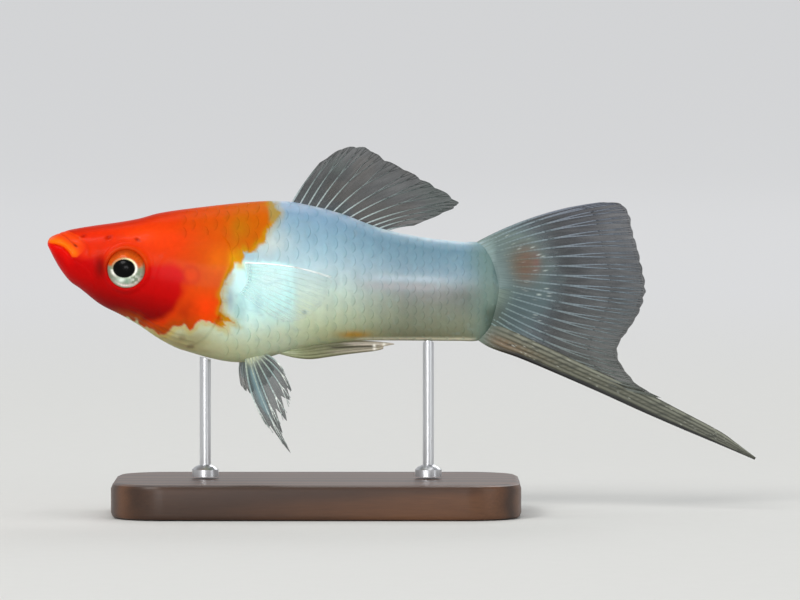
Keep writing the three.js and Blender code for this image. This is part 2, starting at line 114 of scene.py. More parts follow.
def curve(points, share):
    """Points at shares of the way along a list of control points, as a smooth curve."""
    spread = np.linspace(0, 1, len(points))
    return np.stack([along(list(zip(spread, axis)), share) for axis in zip(*points)], -1)


def distance(line, x, z):
    """Distance of side-view points from a line, and the side they lie on: positive to its left."""
    best = np.full(np.shape(x), np.inf)
    sign = np.zeros(np.shape(x))
    for (ax, az), (bx, bz) in zip(line[:-1], line[1:]):
        dx, dz = bx - ax, bz - az
        t = np.clip(((x - ax) * dx + (z - az) * dz) / (dx * dx + dz * dz), 0, 1)
        away = np.hypot(x - ax - t * dx, z - az - t * dz)
        nearer = away < best
        best = np.where(nearer, away, best)
        sign = np.where(nearer, np.sign(dx * (z - az) - dz * (x - ax)), sign)
    return best, sign


def close_to(line, x, z, width):
    """How near side-view points are to a line, from 1 on it down to 0."""
    return bump(distance(line, x, z)[0], 0, width)


def bent(points):
    """A line drawn smoothly through a few points."""
    return [tuple(p) for p in curve(points, np.linspace(0, 1, 4 * len(points)))]


def inside(outline, x, z):
    """Signed distance of side-view points from a closed outline, positive inside it."""
    line = [*outline, outline[0]]
    odd = np.zeros(np.shape(x), bool)
    for (ax, az), (bx, bz) in zip(line[:-1], line[1:]):
        crosses = (az > z) != (bz > z)
        odd ^= crosses & (x < (bx - ax) * (z - az) / (bz - az + 1e-12) + ax)
    return np.where(odd, 1, -1) * distance(line, x, z)[0]


def noise(points, size, seed):
    """Smooth noise from -1 to 1 over points in millimetres, with lumps of about the given size."""
    p = np.asarray(points, float) / size + seed * 17.13
    cell = np.floor(p).astype(np.int64)
    t = p - cell
    t = t * t * (3 - 2 * t)
    total = np.zeros(p.shape[:-1])
    for corner in np.ndindex(*(2,) * p.shape[-1]):
        weight = np.ones(p.shape[:-1])
        key = np.full(p.shape[:-1], seed * 7919 + 1, np.int64)
        for axis, step in enumerate(corner):
            weight *= t[..., axis] if step else 1 - t[..., axis]
            key = (key * 1000003) ^ ((cell[..., axis] + step) * 83492791)
        key = (key ^ (key >> 13)) * 1274126177
        total += weight * (((key ^ (key >> 16)) & 0xFFFF) / 32767.5 - 1)
    return total


def mottle(x, z, size, seed):
    return noise(np.stack([x, z], -1), size, seed)


def tone(code):
    """Linear colour of a hex code."""
    c = np.array([int(code[i : i + 2], 16) for i in (1, 3, 5)]) / 255
    return np.where(c <= 0.04045, c / 12.92, ((c + 0.055) / 1.055) ** 2.4)


def ramp(stops, x):
    """Colour along a ramp of places and their hex codes."""
    tones = np.array([tone(code) for code in stops.values()])
    return np.stack([np.interp(x, list(stops), tones[:, k]) for k in range(3)], -1)


def paint(base, *coats):
    """base with coats of colour laid over it in turn, each by an amount from 0 to 1."""
    for colour, amount in coats:
        colour = tone(colour) if isinstance(colour, str) else colour
        base = base + (colour - base) * np.clip(amount, 0, 1)[..., None]
    return base


# Lines and places on the side of the fish

MOUTH = bent([(-2, 0.3), (0, 0.02), (0.5, -0.04), (1.3, -0.18), (2.3, -0.52), (3.1, -1.25), (3.55, -1.95)])
LIP_BAND = [
    (-0.6, 0.9), (0.4, 1.1), (1.4, 1.6), (2.3, 2.0), (3.3, 1.6), (4.8, 0.95), (5.6, 0.5), (5.75, -0.45),
    (5.05, -1.25), (4.3, -1.95), (3.55, -1.95), (3.1, -1.25), (2.3, -0.52), (1.3, -0.18), (0.5, -0.04),
    (-0.6, 0.1),
]
CREASE = bent([(1.4, 1.5), (2.0, 1.25), (2.7, 0.9), (3.5, 0.2), (4.3, -0.45)])  # in the upper lip
FOLD = bent([(2.2, 1.75), (4.1, 1.0), (5.4, 0.1), (5.9, -0.7), (5.9, -1.6)])  # behind the upper lip
JAW = bent([(3.9, -2.4), (5.4, -3.1), (6.4, -4.4), (7.0, -6.2)])
GILL = bent([
    (24.4, 1.8), (25.9, 0), (26.4, -2.4), (25.6, -4.6), (25.0, -6.3), (24.8, -8.1), (24.2, -10.9),
    (22.2, -13.5), (18.8, -15.6),
])
CHEEK = bent([
    (21, -0.1), (18.6, -0.4), (16.4, -2.0), (15.3, -5.4), (15.7, -9.4), (18.2, -12.6), (20.6, -14.2),
])
NOSTRILS = [(5.2, 1.05, 0.2), (8.8, 0.85, 0.24)]  # x, z and radius
PORE = (12.9, 0.6)
EYE = (11.3, -3.55)
EYE_RADIUS = 2.62
EYE_PROUD = 0.62


# Making pieces

RAY_SIDES = 6  # of the tube that a fin ray is
FIELDS = {1: ("FLOAT", "value"), 3: ("FLOAT_VECTOR", "vector"), 4: ("FLOAT_COLOR", "color")}


def to_row(points):
    return (points - ROW_ORIGIN) * 0.001


def piece(name, part, material, replaces=()):
    """A mesh piece from a part: points in the fish's frame, faces, and layers of values at the points."""
    points, faces, layers = part
    mesh = bpy.data.meshes.new(name)
    mesh.from_pydata(to_row(points).tolist(), [], [list(map(int, f)) for f in faces])
    mesh.validate()
    mesh.polygons.foreach_set("use_smooth", [True] * len(mesh.polygons))
    for layer, values in layers.items():
        values = np.asarray(values, np.float32).reshape(len(points), -1)
        if layer == "uv":
            corner = np.zeros(len(mesh.loops), np.int32)
            mesh.loops.foreach_get("vertex_index", corner)
            mesh.uv_layers.new(name="OFBake").uv.foreach_set("vector", values[corner].ravel())
            continue
        if layer == "tint":
            values = np.column_stack([values, np.ones(len(values), np.float32)])
        kind, field = FIELDS[values.shape[1]]
        mesh.attributes.new(layer, kind, "POINT").data.foreach_set(field, values.ravel())
    mesh.materials.append(material)
    made = bpy.data.objects.new(name, mesh)
    bpy.context.scene.collection.objects.link(made)
    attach(made, "root")
    if replaces:
        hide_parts(*replaces)


def unit(vectors):
    return vectors / (np.linalg.norm(vectors, axis=-1, keepdims=True) + 1e-12)


def surface_normals(points):
    """Normals of a grid of points."""
    return unit(np.cross(np.gradient(points, axis=0), np.gradient(points, axis=1)))


def grid_faces(rows, columns, wrap=False):
    """Quads over a grid of points, row by row, closed across the columns if wrap."""
    i, j = np.meshgrid(np.arange(rows - 1), np.arange(columns if wrap else columns - 1), indexing="ij")
    i, k = i * columns, (j + 1) % columns
    return np.stack([i + j, i + k, i + columns + k, i + columns + j], -1).reshape(-1, 4)


def outward(points, faces):
    """Faces turned so that the closed surface they make faces out."""
    points = points - points.mean(0)
    volume = 0.0
    for size in (3, 4):
        fan = np.array([f for f in faces if len(f) == size], int).reshape(-1, size).T
        for k in range(2, size):
            volume += (points[fan[0]] * np.cross(points[fan[k - 1]], points[fan[k]])).sum()
    return faces if volume > 0 else [f[::-1] for f in faces]


def join(parts):
    """Several parts as one."""
    points, faces, layers, start = [], [], {}, 0
    for part_points, part_faces, part_layers in parts:
        points.append(part_points)
        faces += [[v + start for v in f] for f in part_faces]
        for layer, values in part_layers.items():
            layers.setdefault(layer, []).append(values)
        start += len(part_points)
    return np.concatenate(points), faces, {k: np.concatenate(v) for k, v in layers.items()}


def sheet(middle, normal, half, layers):
    """A thin closed part from a grid of middle points, its normals, half its thickness and its layers."""
    rows, columns = half.shape
    count = half.size
    offset = normal * half[..., None]
    points = np.concatenate([(middle + offset).reshape(-1, 3), (middle - offset).reshape(-1, 3)])
    front = grid_faces(rows, columns)
    grid = np.arange(count).reshape(rows, columns)
    rim = np.concatenate([grid[0, :-1], grid[:-1, -1], grid[-1, :0:-1], grid[:0:-1, 0]])
    after = np.roll(rim, -1)
    sides = np.stack([after, rim, rim + count, after + count], -1)
    faces = np.concatenate([front, front[:, ::-1] + count, sides]).tolist()
    both = {layer: np.concatenate([values.reshape(count, -1)] * 2) for layer, values in layers.items()}
    return points, outward(points, faces), both


def closed(rings):
    """Points and faces of a closed surface over rings of points, each end a fan round its middle."""
    rows, columns = rings.shape[:2]
    ends = [rings[0].mean(0, keepdims=True), rings[-1].mean(0, keepdims=True)]
    points = np.concatenate([rings.reshape(-1, 3), *ends])
    faces = grid_faces(rows, columns, wrap=True).tolist()
    last = (rows - 1) * columns
    for k in range(columns):
        after = (k + 1) % columns
        faces += [[len(points) - 2, after, k], [len(points) - 1, last + k, last + after]]
    return points, outward(points, faces)


def tube(path, normal, wide, thick):
    """Points and faces of a tube along a path: wide across the fin and thick along its normal."""
    across = unit(np.cross(np.gradient(path, axis=0), normal))
    turn = 2 * np.pi * np.arange(RAY_SIDES) / RAY_SIDES
    wide, thick = wide[:, None] * np.cos(turn), thick[:, None] * np.sin(turn)
    return closed(path[:, None] + across[:, None] * wide[..., None] + normal[:, None] * thick[..., None])


# Body

def side_form(x, above):
    """How far the side view reaches up or down from where the body is widest, and how square it is there."""
    widest = along(WIDEST_AT, x)
    reach = np.where(above, along(BACK, x) - widest, widest - along(BELLY, x))
    return reach, np.where(above, along(SQUARE_ABOVE, x), along(SQUARE_BELOW, x))


def section(x, turn):
    """A point of the bare body at a place along it and a turn round it, which is 0 at the back."""
    up, out = np.cos(turn), np.sin(turn)
    reach, square = side_form(x, up > 0)
    return np.stack([
        x + 0 * turn,
        -along(HALF_WIDTH, x) * np.sign(out) * np.abs(out) ** (2 / square),
        along(WIDEST_AT, x) + reach * np.sign(up) * np.abs(up) ** (2 / square),
    ], -1)


FINE_TURNS = 721  # points by which half a girth is measured
TABLE_X = np.linspace(0, LENGTH, 400)
TABLE_Q = np.linspace(0, 1, 129)


def even_turns():
    """For places along the fish, the turns that divide half its girth evenly, and that half girth."""
    fine = np.linspace(0, np.pi, FINE_TURNS)
    turns, girths = [], []
    for x in TABLE_X:
        points = section(np.full(fine.shape, x), fine)
        run = np.concatenate([[0], np.cumsum(np.linalg.norm(np.diff(points, axis=0), axis=1))])
        turns.append(np.interp(TABLE_Q * run[-1], run, fine))
        girths.append(run[-1])
    return np.array(turns), np.array(girths)


TURNS, GIRTHS = even_turns()


def body_point(x, q, side):
    """A point of the bare body: q is the share of the way from the back, 0, down a side to the belly, 1."""
    i = np.clip(x / LENGTH * (len(TABLE_X) - 1), 0, len(TABLE_X) - 1.001)
    j = np.clip(np.abs(q) * (len(TABLE_Q) - 1), 0, len(TABLE_Q) - 1.001)
    i0, j0 = i.astype(int), j.astype(int)
    s, t = i - i0, j - j0
    turn = (
        (TURNS[i0, j0] * (1 - t) + TURNS[i0, j0 + 1] * t) * (1 - s)
        + (TURNS[i0 + 1, j0] * (1 - t) + TURNS[i0 + 1, j0 + 1] * t) * s
    )
    made = section(x, turn)
    made[..., 1] *= -side * np.where(q < 0, -1, 1)
    return made


def side_width(x, z):
    """Half the width of the bare body at a point of the side view."""
    rise = z - along(WIDEST_AT, x)
    reach, square = side_form(x, rise > 0)
    return along(HALF_WIDTH, x) * (1 - np.clip(np.abs(rise) / reach, 0, 1) ** square) ** (1 / square)


def above_mouth(x, z):
    """Distance of side-view points above the mouth's line, negative below it."""
    away, side = distance(MOUTH, x, z)
    return away * side


def relief(x, z):
    """How far the skin stands out from the bare body, by the features of the head and the fin roots."""
    spot = spots(x, z)
    over = above_mouth(x, z)
    lips = smooth(-0.1, 1.2, x) * fall(3.0, 3.8, x)
    out = lips * (0.15 * bump(over, 0.45, 0.35) + 0.13 * bump(over, -0.42, 0.3) - 0.24 * bump(over, 0, 0.09))
    out -= 0.07 * close_to(CREASE, x, z, 0.14) * smooth(1.0, 1.8, x)
    out -= 0.05 * close_to(FOLD, x, z, 0.22)
    out -= 0.05 * close_to(JAW, x, z, 0.25)
    for nx, nz, radius in NOSTRILS:
        r = np.hypot((x - nx) / 1.6, z - nz - 0.3 * (x - nx)) / radius
        out += 0.02 * bump(r, 1.7, 0.7) - 0.16 * bump(r, 0, 0.7)
    out -= 0.08 * bump(np.hypot((x - PORE[0]) / 1.6, z - PORE[1]), 0, 0.16)
    r = np.hypot(x - EYE[0], z - EYE[1])
    out += 0.16 * bump(r, EYE_RADIUS + 0.4, 0.34) - 0.04 * bump(r, EYE_RADIUS + 1.1, 0.3)
    out -= 1.5 * fall(EYE_RADIUS - 0.35, EYE_RADIUS + 0.22, r)  # the eye's socket
    out -= 0.1 * spot(7.5, 0.55, -3.0, 1.4)
    gill, behind = distance(GILL, x, z)
    gill = gill * np.sign(behind)
    held = (0.25 + 0.75 * smooth(-13, -10, z)) * smooth(-16.2, -14.4, z)
    held = held * fall(-0.4, 1.6, z) * smooth(17, 19.5, x)
    plate = 0.2 * bump(np.minimum(gill, 0), 0, 3.2) * fall(-0.15, 0.15, gill)
    out += held * (plate - 0.1 * smooth(-0.05, 0.15, gill) * bump(np.maximum(gill, 0), 0, 0.9))
    out -= 0.035 * close_to(CHEEK, x, z, 0.35) * smooth(-14, -11, z)
    out += 0.2 * spot(27.1, 1.0, -4.6, 1.9)  # the pectoral fin's root
    low = z - along(BELLY, x)
    folds = smooth(10.5, 13, x) * fall(19, 22, x) * fall(1.8, 3.2, low) * smooth(0.1, 0.5, low)
    return out + 0.045 * folds * np.sin(2 * np.pi * (low - 0.12 * x) / 0.75)


# Markings

CAP = [
    (31.7, 8), (31.7, 6.0), (33.3, 4.6), (32.6, 3.4), (31.9, 2.0), (31.3, 0.5), (29.9, -0.4), (29.0, -1.2),
    (28.2, -1.0), (28.4, -2.1), (27.6, -3.1), (26.7, -2.5), (26.0, -4.5), (25.2, -6.0), (24.8, -7.4),
    (24.9, -9.5), (26.9, -11.3), (25.4, -11.1), (25.7, -12.0), (23.8, -11.5), (21.7, -10.9), (20.4, -12.2),
    (19.4, -11.3), (17.9, -11.6), (16.8, -13.0), (15.6, -12.6), (13.7, -11.8), (12.4, -10.9), (11.0, -10.5),
    (9.6, -10.4), (8, -12), (-3, -12), (-3, 8),
]
DEEP_RED = [
    (-2, -0.2), (1.0, -0.5), (2.6, -1.4), (4.7, -2.3), (7.4, -2.0), (8.6, -2.4), (9.5, -4.5), (13, -5.5),
    (14.0, -3.0), (16.5, -3.1), (18.9, -3.4), (19.5, -5.0), (18.9, -7.6), (17.8, -9.4), (16.2, -10.6),
    (13.4, -11.0), (11, -13), (-2, -13),
]
THROAT = {
    -11.2: "#740000", -9.4: "#820000", -8: "#9a0000", -6: "#bc0000", -4.2: "#c20000",
    -2.4: "#ce0200",
}
# Colours up the side, from the belly at 0 to the back at 1; the pale stops at the very top are a painted
# highlight along the back.
FLANK = {
    0: "#bac294", 0.1: "#c0c89e", 0.26: "#d2e0c4", 0.41: "#d4e8dd", 0.56: "#bed6dc",
    0.67: "#a5c3d0", 0.8: "#8aabbd", 0.93: "#7f9fb7", 0.98: "#9cb2c8", 1: "#bccbdb",
}
# The same for the tail stalk; its pale stops at the very top are a painted highlight along the back too.
STALK = {
    0: "#78765c", 0.06: "#777860", 0.19: "#7f8470", 0.36: "#858a7e", 0.47: "#8f9592",
    0.57: "#9aa6aa", 0.65: "#8ea4b1", 0.77: "#7b98a7", 0.9: "#6d8c9c", 0.97: "#8ba6b6",
    1: "#b0c4cf",
}


def head_colour(x, z, grain):
    """The red and orange of the cap."""
    spot = spots(x, z)
    lip = smooth(-0.1, 0.12, inside(LIP_BAND, x, z)) * fall(4.4, 5.9, x)
    deep = smooth(-0.9, 0.5, inside(DEEP_RED, x + 0.4 * grain, z + 0.3 * grain))
    ring = np.hypot(x - 20.5, z + 4.4)
    r = np.hypot(x - EYE[0], z - EYE[1])
    made = ramp({0: "#dc2600", 6: "#e02800", 12: "#dc2c00", 18: "#da3a00", 22: "#d24a00", 27: "#ce5400",
                 33: "#c46400"}, x + 0.8 * grain)
    made = paint(
        made,
        ("#f04400", 0.7 * spot(14.5, 4.0, 1.3, 1.2)),
        # Painted shade: the top edge of the head is darker red where the surface turns away.
        ("#a41c00", 0.5 * fall(0.2, 1.1, along(BACK, x) - z) * fall(14, 24, x)),
        ("#ee4406", 0.95 * lip),
        ("#ff7200", lip * close_to([(0.6, 0.4), (1.8, 0.2), (2.9, -0.4), (3.9, -1.3)], x, z, 0.5)),
        # Painted highlight: a pinkish-grey sheen on top of the snout's tip.
        ("#d06a50", 0.6 * bump(x, 0.4, 0.6) * smooth(0.3, 0.9, z)),
        # Painted shade: darker lines along the lip's crease and the fold behind it, and a dark mark in the
        # gap where the crease ends.
        ("#b83008", 0.55 * close_to(CREASE, x, z, 0.12) * smooth(1.4, 2.4, x)),
        ("#7c2004", 0.85 * bump(np.hypot((x - 4.05) / 1.5, z + 0.3 + 0.5 * (x - 4.05)), 0, 0.17)),
        ("#cc2800", 0.4 * close_to(FOLD, x, z, 0.2)),
        ("#f44000", 0.9 * spot(22.6, 2.2, -9.0, 2.4)),
        ("#b02a04", 0.7 * bump(x + 0.7 * grain, 19.9, 1.2) * bump(z, -9.9, 1.8)),
        ("#7a3a04", 0.6 * spot(16.0, 1.3, -12.3, 0.6)),
        ("#ae7404", 0.65 * spot(27.4, 1.6, 2.2, 2.2)),
        ("#f03e00", 0.6 * spot(16.5, 3.5, 0.2, 1.6)),
        (ramp(THROAT, z + 0.22 * (x - 11)), deep * (1 - lip)),
        ("#e60600", 0.8 * bump(above_mouth(x, z), -0.6, 0.55) * fall(2.4, 4.4, x)),
        ("#bc1400", 0.32 * bump(ring, 1.15, 0.35)),
        ("#e83406", 0.4 * bump(ring, 0, 0.8)),
        # Painted shade: a darker, browner band over the top of the eye, under the brow.
        ("#c04406", 0.55 * bump(r, EYE_RADIUS + 0.35, 0.35) * smooth(-1.2, 1.4, z - EYE[1])),
        # Painted shadow: a dark red spot in the hollow in front of the eye.
        ("#6c0600", 0.75 * spot(7.6, 0.8, -3.4, 1.7)),
    )
    # Painted shade: the nostrils and the pore further back are darkened in their pits.
    for nx, nz, radius in NOSTRILS:
        r = np.hypot((x - nx) / 1.7, z - nz - 0.3 * (x - nx) + 0.08 * grain)
        made = paint(made, ("#a81400", 0.8 * bump(r, 0, 1.3 * radius)))
    r = np.hypot((x - PORE[0]) / 1.7, z - PORE[1] + 0.3 * (x - PORE[0]) + 0.08 * grain)
    return paint(made, ("#9c1200", 0.9 * bump(r, 0, 0.24)))


def marking(points):
    """The fish's colours at points near its skin."""
    x, z = points[:, 0], points[:, 2]
    spot = spots(x, z)
    grain = noise(points, 1.3, 3)
    fine = noise(points, 0.45, 5)
    low, high = along(BELLY, x), along(BACK, x)
    level = np.clip((z - low) / (high - low), 0, 1)
    rear = smooth(36, 52.5, x + 0.8 * grain)
    shoulder_top = along([(20, -1.4), (28.4, -2.4), (33, -2.6), (37, -3.8), (42, -6)], x)
    shoulder = (
        smooth(25.4, 27.8, x) * fall(34.2, 36.2, x + 0.3 * fine) * smooth(-13.2, -8.0, z)
        * fall(-0.4, 0.4, z - shoulder_top + 0.2 * fine)
    )
    cells = fall(0.03, 0.2, np.abs(noise(points, 2.1, 31)))
    stripe = smooth(42, 48.5, x) * fall(53.5, 60, x)
    smudge = smooth(0.05, 0.5, noise(points * [1, 1, 1.6], 1.1, 11))
    streak = noise(points * [1, 0, 0.12], 0.55, 23)
    made = ramp(FLANK, level + 0.025 * grain)
    made = paint(
        made,
        (ramp(STALK, level + 0.015 * grain), rear),
        ("#d6ecdf", 0.6 * spot(29, 5, -11.3, 2.6)),
        ("#d6dcd2", 0.65 * spot(31.6, 3, 0.2, 2.2)),
        ("#d2fdfb", 0.95 * shoulder),
        ("#e6ffff", 0.9 * shoulder * spot(31.6, 2.4, -5.2, 1.6)),
        ("#a9d2d8", 0.35 * shoulder * cells),
        # Painted shadow: a grey-blue band just behind the gill cover's edge.
        ("#93a8b4", 0.85 * bump(x, 26.1 - 0.06 * (z + 8), 0.7) * bump(z, -8.0, 2.0)),
        ("#a4c4cc", 0.6 * bump(x + 0.2 * fine, 27.6, 0.7) * bump(z, -8.9, 1.6)),
        ("#a9ccd4", 0.6 * bump(x + 0.3 * fine, 30.0, 0.6) * bump(z, -8.6, 1.4)),
        ("#9cc2b6", 0.5 * spot(27.2, 1.0, -10.0, 2.6)),
        ("#c6c29a", 0.5 * spot(24, 5, -15.2, 1.4)),
        ("#b7c6cf", 0.8 * bump(z, -5.0 - 0.03 * (x - 50), 0.55) * stripe),
        ("#aeabae", 0.75 * bump(z, -6.1 - 0.03 * (x - 50), 0.6) * stripe),
        ("#8d8784", 0.35 * bump(z, -7.6, 0.9) * smooth(50, 55, x) * fall(59, 62, x)),
        ("#b98828", 0.9 * spot(43.6, 2.3, -13.0, 0.55)),
        ("#dcd8bc", 0.9 * bump(z - low, 0.3, 0.2) * smooth(43, 45, x) * fall(60, 62, x)),
        # Painted highlight: a pale line along the top edge of the tail stalk.
        ("#d0e0e8", 0.65 * bump(high - z, 0.05, 0.3) * smooth(44, 49, x) * fall(59.5, 62, x)),
        ("#646c64", 0.55 * spot(59.6, 2.4, -7.9, 1.9)),
        ("#6c837a", 0.8 * smooth(58.5, 63, x + 0.5 * grain)),
        ("#3c4c50", 0.45 * smooth(63, 64, x + 0.3 * grain) * (1 - 0.6 * bump(z, -7.2, 2.4))),
        ("#424f45", 0.75 * smooth(61.0, 63.2, x + 0.4 * grain) * fall(-10.2, -8.0, z + 0.4 * grain)),
        ("#9c8a5c", 0.75 * bump(x, 18.6, 3.6) * bump(z - low, 0.9, 1.3)),
        ("#6c6046", 0.75 * smudge * bump(x, 18.6, 3.4) * bump(z - low, 1.2, 1.2)),
        ("#8a7848", 0.5 * spot(21.2, 2.4, -13.4, 1.3)),
        ("#d6e4cc", 0.5 * bump(x, 33, 4) * bump(z - low, 1.4, 1.8)),
        ("#6f8a8c", 0.8 * bump(np.hypot(x - 36.6, z + 9.7), 0, 0.3)),
        ("#8c9c9c", 0.2 * smooth(0.5, 0.85, noise(points, 0.7, 19))),
    )
    made *= (1 + 0.045 * streak * bump(x, 40, 14))[:, None]
    edge = inside(CAP, x + 0.38 * grain + 0.2 * fine, z + 0.38 * noise(points, 1.1, 29) + 0.16 * fine)
    head = head_colour(x, z, grain)
    head = paint(
        head,
        ("#bf8c0c", 0.85 * bump(edge, 0.25, 0.5) * smooth(23.2, 25, x)),
        ("#9c8c4c", 0.8 * smooth(31.2, 31.9, x + 0.3 * grain) * smooth(2.6, 3.4, z)),
        ("#e09c06", 0.85 * bump(x + 0.3 * grain, 26.6, 1.2) * bump(z, -2.2, 1.5)),
        ("#e87000", 0.6 * spot(24.3, 1.4, -2.2, 1.8)),
        ("#a4480a", 0.7 * bump(edge, 0.2, 0.8) * fall(19, 23, x) * fall(-10, -8, z)),
    )
    made = paint(
        made,
        ("#d6c460", 0.8 * bump(x + 0.2 * fine, 27.5, 0.6) * bump(z, -3.0, 0.6)),
        ("#c4a850", 0.6 * bump(edge, -0.3, 0.45) * smooth(12, 16, x) * fall(-6, -3, z)),
        ("#b6a266", 0.45 * bump(edge, -0.25, 0.4) * smooth(-1, 2, z)),
        (head, smooth(-0.16, 0.2, edge)),
    )
    return np.clip(made, 0, 1) * (1 + 0.03 * fine)[:, None]


# Materials

class Material:
    """A new material: its made datablock, its shader, and short ways to add nodes to it."""

    def __init__(self, name, **shader):
        self.made = bpy.data.materials.new(name)
        self.made.use_nodes = True
        self.tree = self.made.node_tree
        self.shader = self.tree.nodes["Principled BSDF"]
        for key, value in shader.items():
            self.shader.inputs[key.replace("_", " ")].default_value = value

    def node(self, kind, output, links=None, **settings):
        """A new node's output, with values or other outputs put into its sockets."""
        new = self.tree.nodes.new("ShaderNode" + kind)
        for key, value in settings.items():
            setattr(new, key, value)
        for socket, value in (links or {}).items():
            if isinstance(value, bpy.types.NodeSocket):
                self.tree.links.new(value, new.inputs[socket])
            else:
                new.inputs[socket].default_value = value
        return new.outputs[output]

    def wire(self, socket, value):
        self.tree.links.new(value, self.shader.inputs[socket])

    def place(self):
        return self.node("TexCoord", "Object")

    def layer(self, name, output):
        return self.node("Attribute", output, attribute_name=name)

    def grains(self, place, scale, detail):
        return self.node("TexNoise", "Fac", {"Vector": place, "Scale": scale, "Detail": detail})

    def stretched(self, place, scale):
        return self.node("Mapping", "Vector", {"Vector": place, "Scale": scale})

    def spread(self, value, low, high, **limits):
        """A value from 0 to 1 spread from low to high."""
        limits = {key.replace("_", " "): limit for key, limit in limits.items()}
        return self.node("MapRange", "Result", {"Value": value, "To Min": low, "To Max": high, **limits})

    def vary(self, colour, value, low, high):
        """A colour multiplied by a value that runs from low to high."""
        links = {"Factor": 1.0, "A": colour, "B": self.spread(value, low, high)}
        return self.node("Mix", "Result", links, data_type="RGBA", blend_type="MULTIPLY")

    def emboss(self, height, strength, depth):
        links = {"Height": height, "Strength": strength, "Distance": depth}
        self.wire("Normal", self.node("Bump", "Normal", links))


def flesh(name, gloss):
    """Skin and scales: painted colour, a fine mottle and a soft wet gloss."""
    look = Material(name, Specular_IOR_Level=0.05, Coat_Weight=0.04, Coat_Roughness=0.12,
                    Subsurface_Weight=0.15, Subsurface_Scale=0.0007)
    place = look.place()
    blotches, grains = look.grains(place, 1700.0, 4.0), look.grains(place, 7000.0, 2.0)
    colour = look.vary(look.layer("tint", "Color"), blotches, 0.95, 1.05)
    look.wire("Base Color", look.vary(colour, grains, 0.97, 1.03))
    look.wire("Roughness", look.spread(blotches, gloss, gloss + 0.22))
    look.emboss(grains, 0.18, 0.00004)
    return look.made


def membrane_look():
    """Fin membrane: clear where its alpha says, with dark flecks that lie along the rays."""
    look = Material("fin_membrane", Roughness=0.4, Coat_Weight=0.2, Coat_Roughness=0.2)
    flecks = look.grains(look.layer("lie", "Vector"), 1.0, 3.0)
    look.wire("Base Color", look.vary(look.layer("tint", "Color"), flecks, 0.75, 1.25))
    deep = look.spread(flecks, 0.9, 1.1, From_Min=0.3, From_Max=0.7)
    links = {0: look.layer("alpha", "Fac"), 1: deep}
    look.wire("Alpha", look.node("Math", "Value", links, operation="MULTIPLY", use_clamp=True))
    look.emboss(flecks, 0.25, 0.00005)
    return look.made


def ray_look(name):
    look = Material(name, Roughness=0.38, Coat_Weight=0.25, Coat_Roughness=0.2)
    grains = look.grains(look.place(), 2500.0, 2.0)
    look.wire("Base Color", look.vary(look.layer("tint", "Color"), grains, 0.8, 1.2))
    look.emboss(grains, 0.2, 0.00004)
    return look.made


MEMBRANE, RAYS = membrane_look(), ray_look("fin_rays")


# Skin

SKIN_STEPS = 120  # steps down each side, from back to belly


def skin_stations():
    """Places of the skin's rings, closest on the head and at the tail's end."""
    spacing = [
        (0, 0.035), (0.6, 0.09), (6, 0.12), (28, 0.14), (31, 0.3), (58, 0.3), (62, 0.14), (64.4, 0.07),
    ]
    at, stations = 0.0, []
    while at < LENGTH:
        stations.append(at)
        at += float(np.interp(at, *zip(*spacing)))
    return [*stations, LENGTH]


def make_skin():
    down, up = np.linspace(0, 1, SKIN_STEPS + 1), np.linspace(1, 0, SKIN_STEPS + 1)[1:-1]
    x, q = np.meshgrid(skin_stations(), np.concatenate([down, up]), indexing="ij")
    bare = body_point(x, q, np.where(np.arange(x.shape[1]) <= SKIN_STEPS, -1, 1))
    wrapped = np.concatenate([bare[:, -1:], bare, bare[:, :1]], 1)
    normal = surface_normals(wrapped)[:, 1:-1]
    normal *= np.sign(normal[len(normal) // 2, 0, 2])  # at the back, up is out
    lift = relief(bare[..., 0], bare[..., 2])
    points, faces = closed(bare + normal * lift[..., None])
    # Painted shade: on the head the tint is darkened where the skin sinks, in its creases and pits and round
    # the eye.
    groove = smooth(0.05, 0.45, -np.concatenate([lift.reshape(-1), [0, 0]]))
    tint = marking(points) * (1 - 0.4 * groove * fall(13, 16, points[:, 0]))[:, None]
    hidden = ["head", "lower_jaw", "gill_cover_left", "gill_cover_right", "trunk", "tail_stalk"]
    piece("skin", (points, faces, {"tint": tint}), flesh("fish_skin", 0.3), hidden)


make_skin()


# Scales

SCALE_ROWS = 11  # rows down one side
SCALE_SPACING = [(17, 1.5), (30, 1.45), (62, 1.05)]  # from one column to the next, by x
SCALES_END = 63.0
SCALE_ACROSS = np.array([-1, -0.93, -0.6, -0.2, 0.2, 0.6, 0.93, 1])
SCALE_ALONG = np.array([0, 0.3, 0.6, 0.82, 0.95, 1])
SCALE_HALF = 0.015  # half a scale's thickness


def has_scale(x, z):
    """Whether a scale grows here on the side: not on the gill cover, nor at the pectoral fin's root."""
    gill, behind = distance(GILL, x, z)
    on_cover = x < 28 and z < 1.0 and not (behind > 0 and gill > 0.25)
    at_fin = abs(x - 27.6) < 1.1 and -6.8 < z < -2.4
    return not on_cover and not at_fin and not (x < 24 and z < 1.4)


def under_fin(x, z):
    """How far a place lies under the pectoral fin, where the scales hardly show, from 0 to 1."""
    return smooth(26.6, 28.2, x) * fall(36.5, 40, x) * smooth(-12, -9.8, z) * fall(-3.4, -2.2, z)


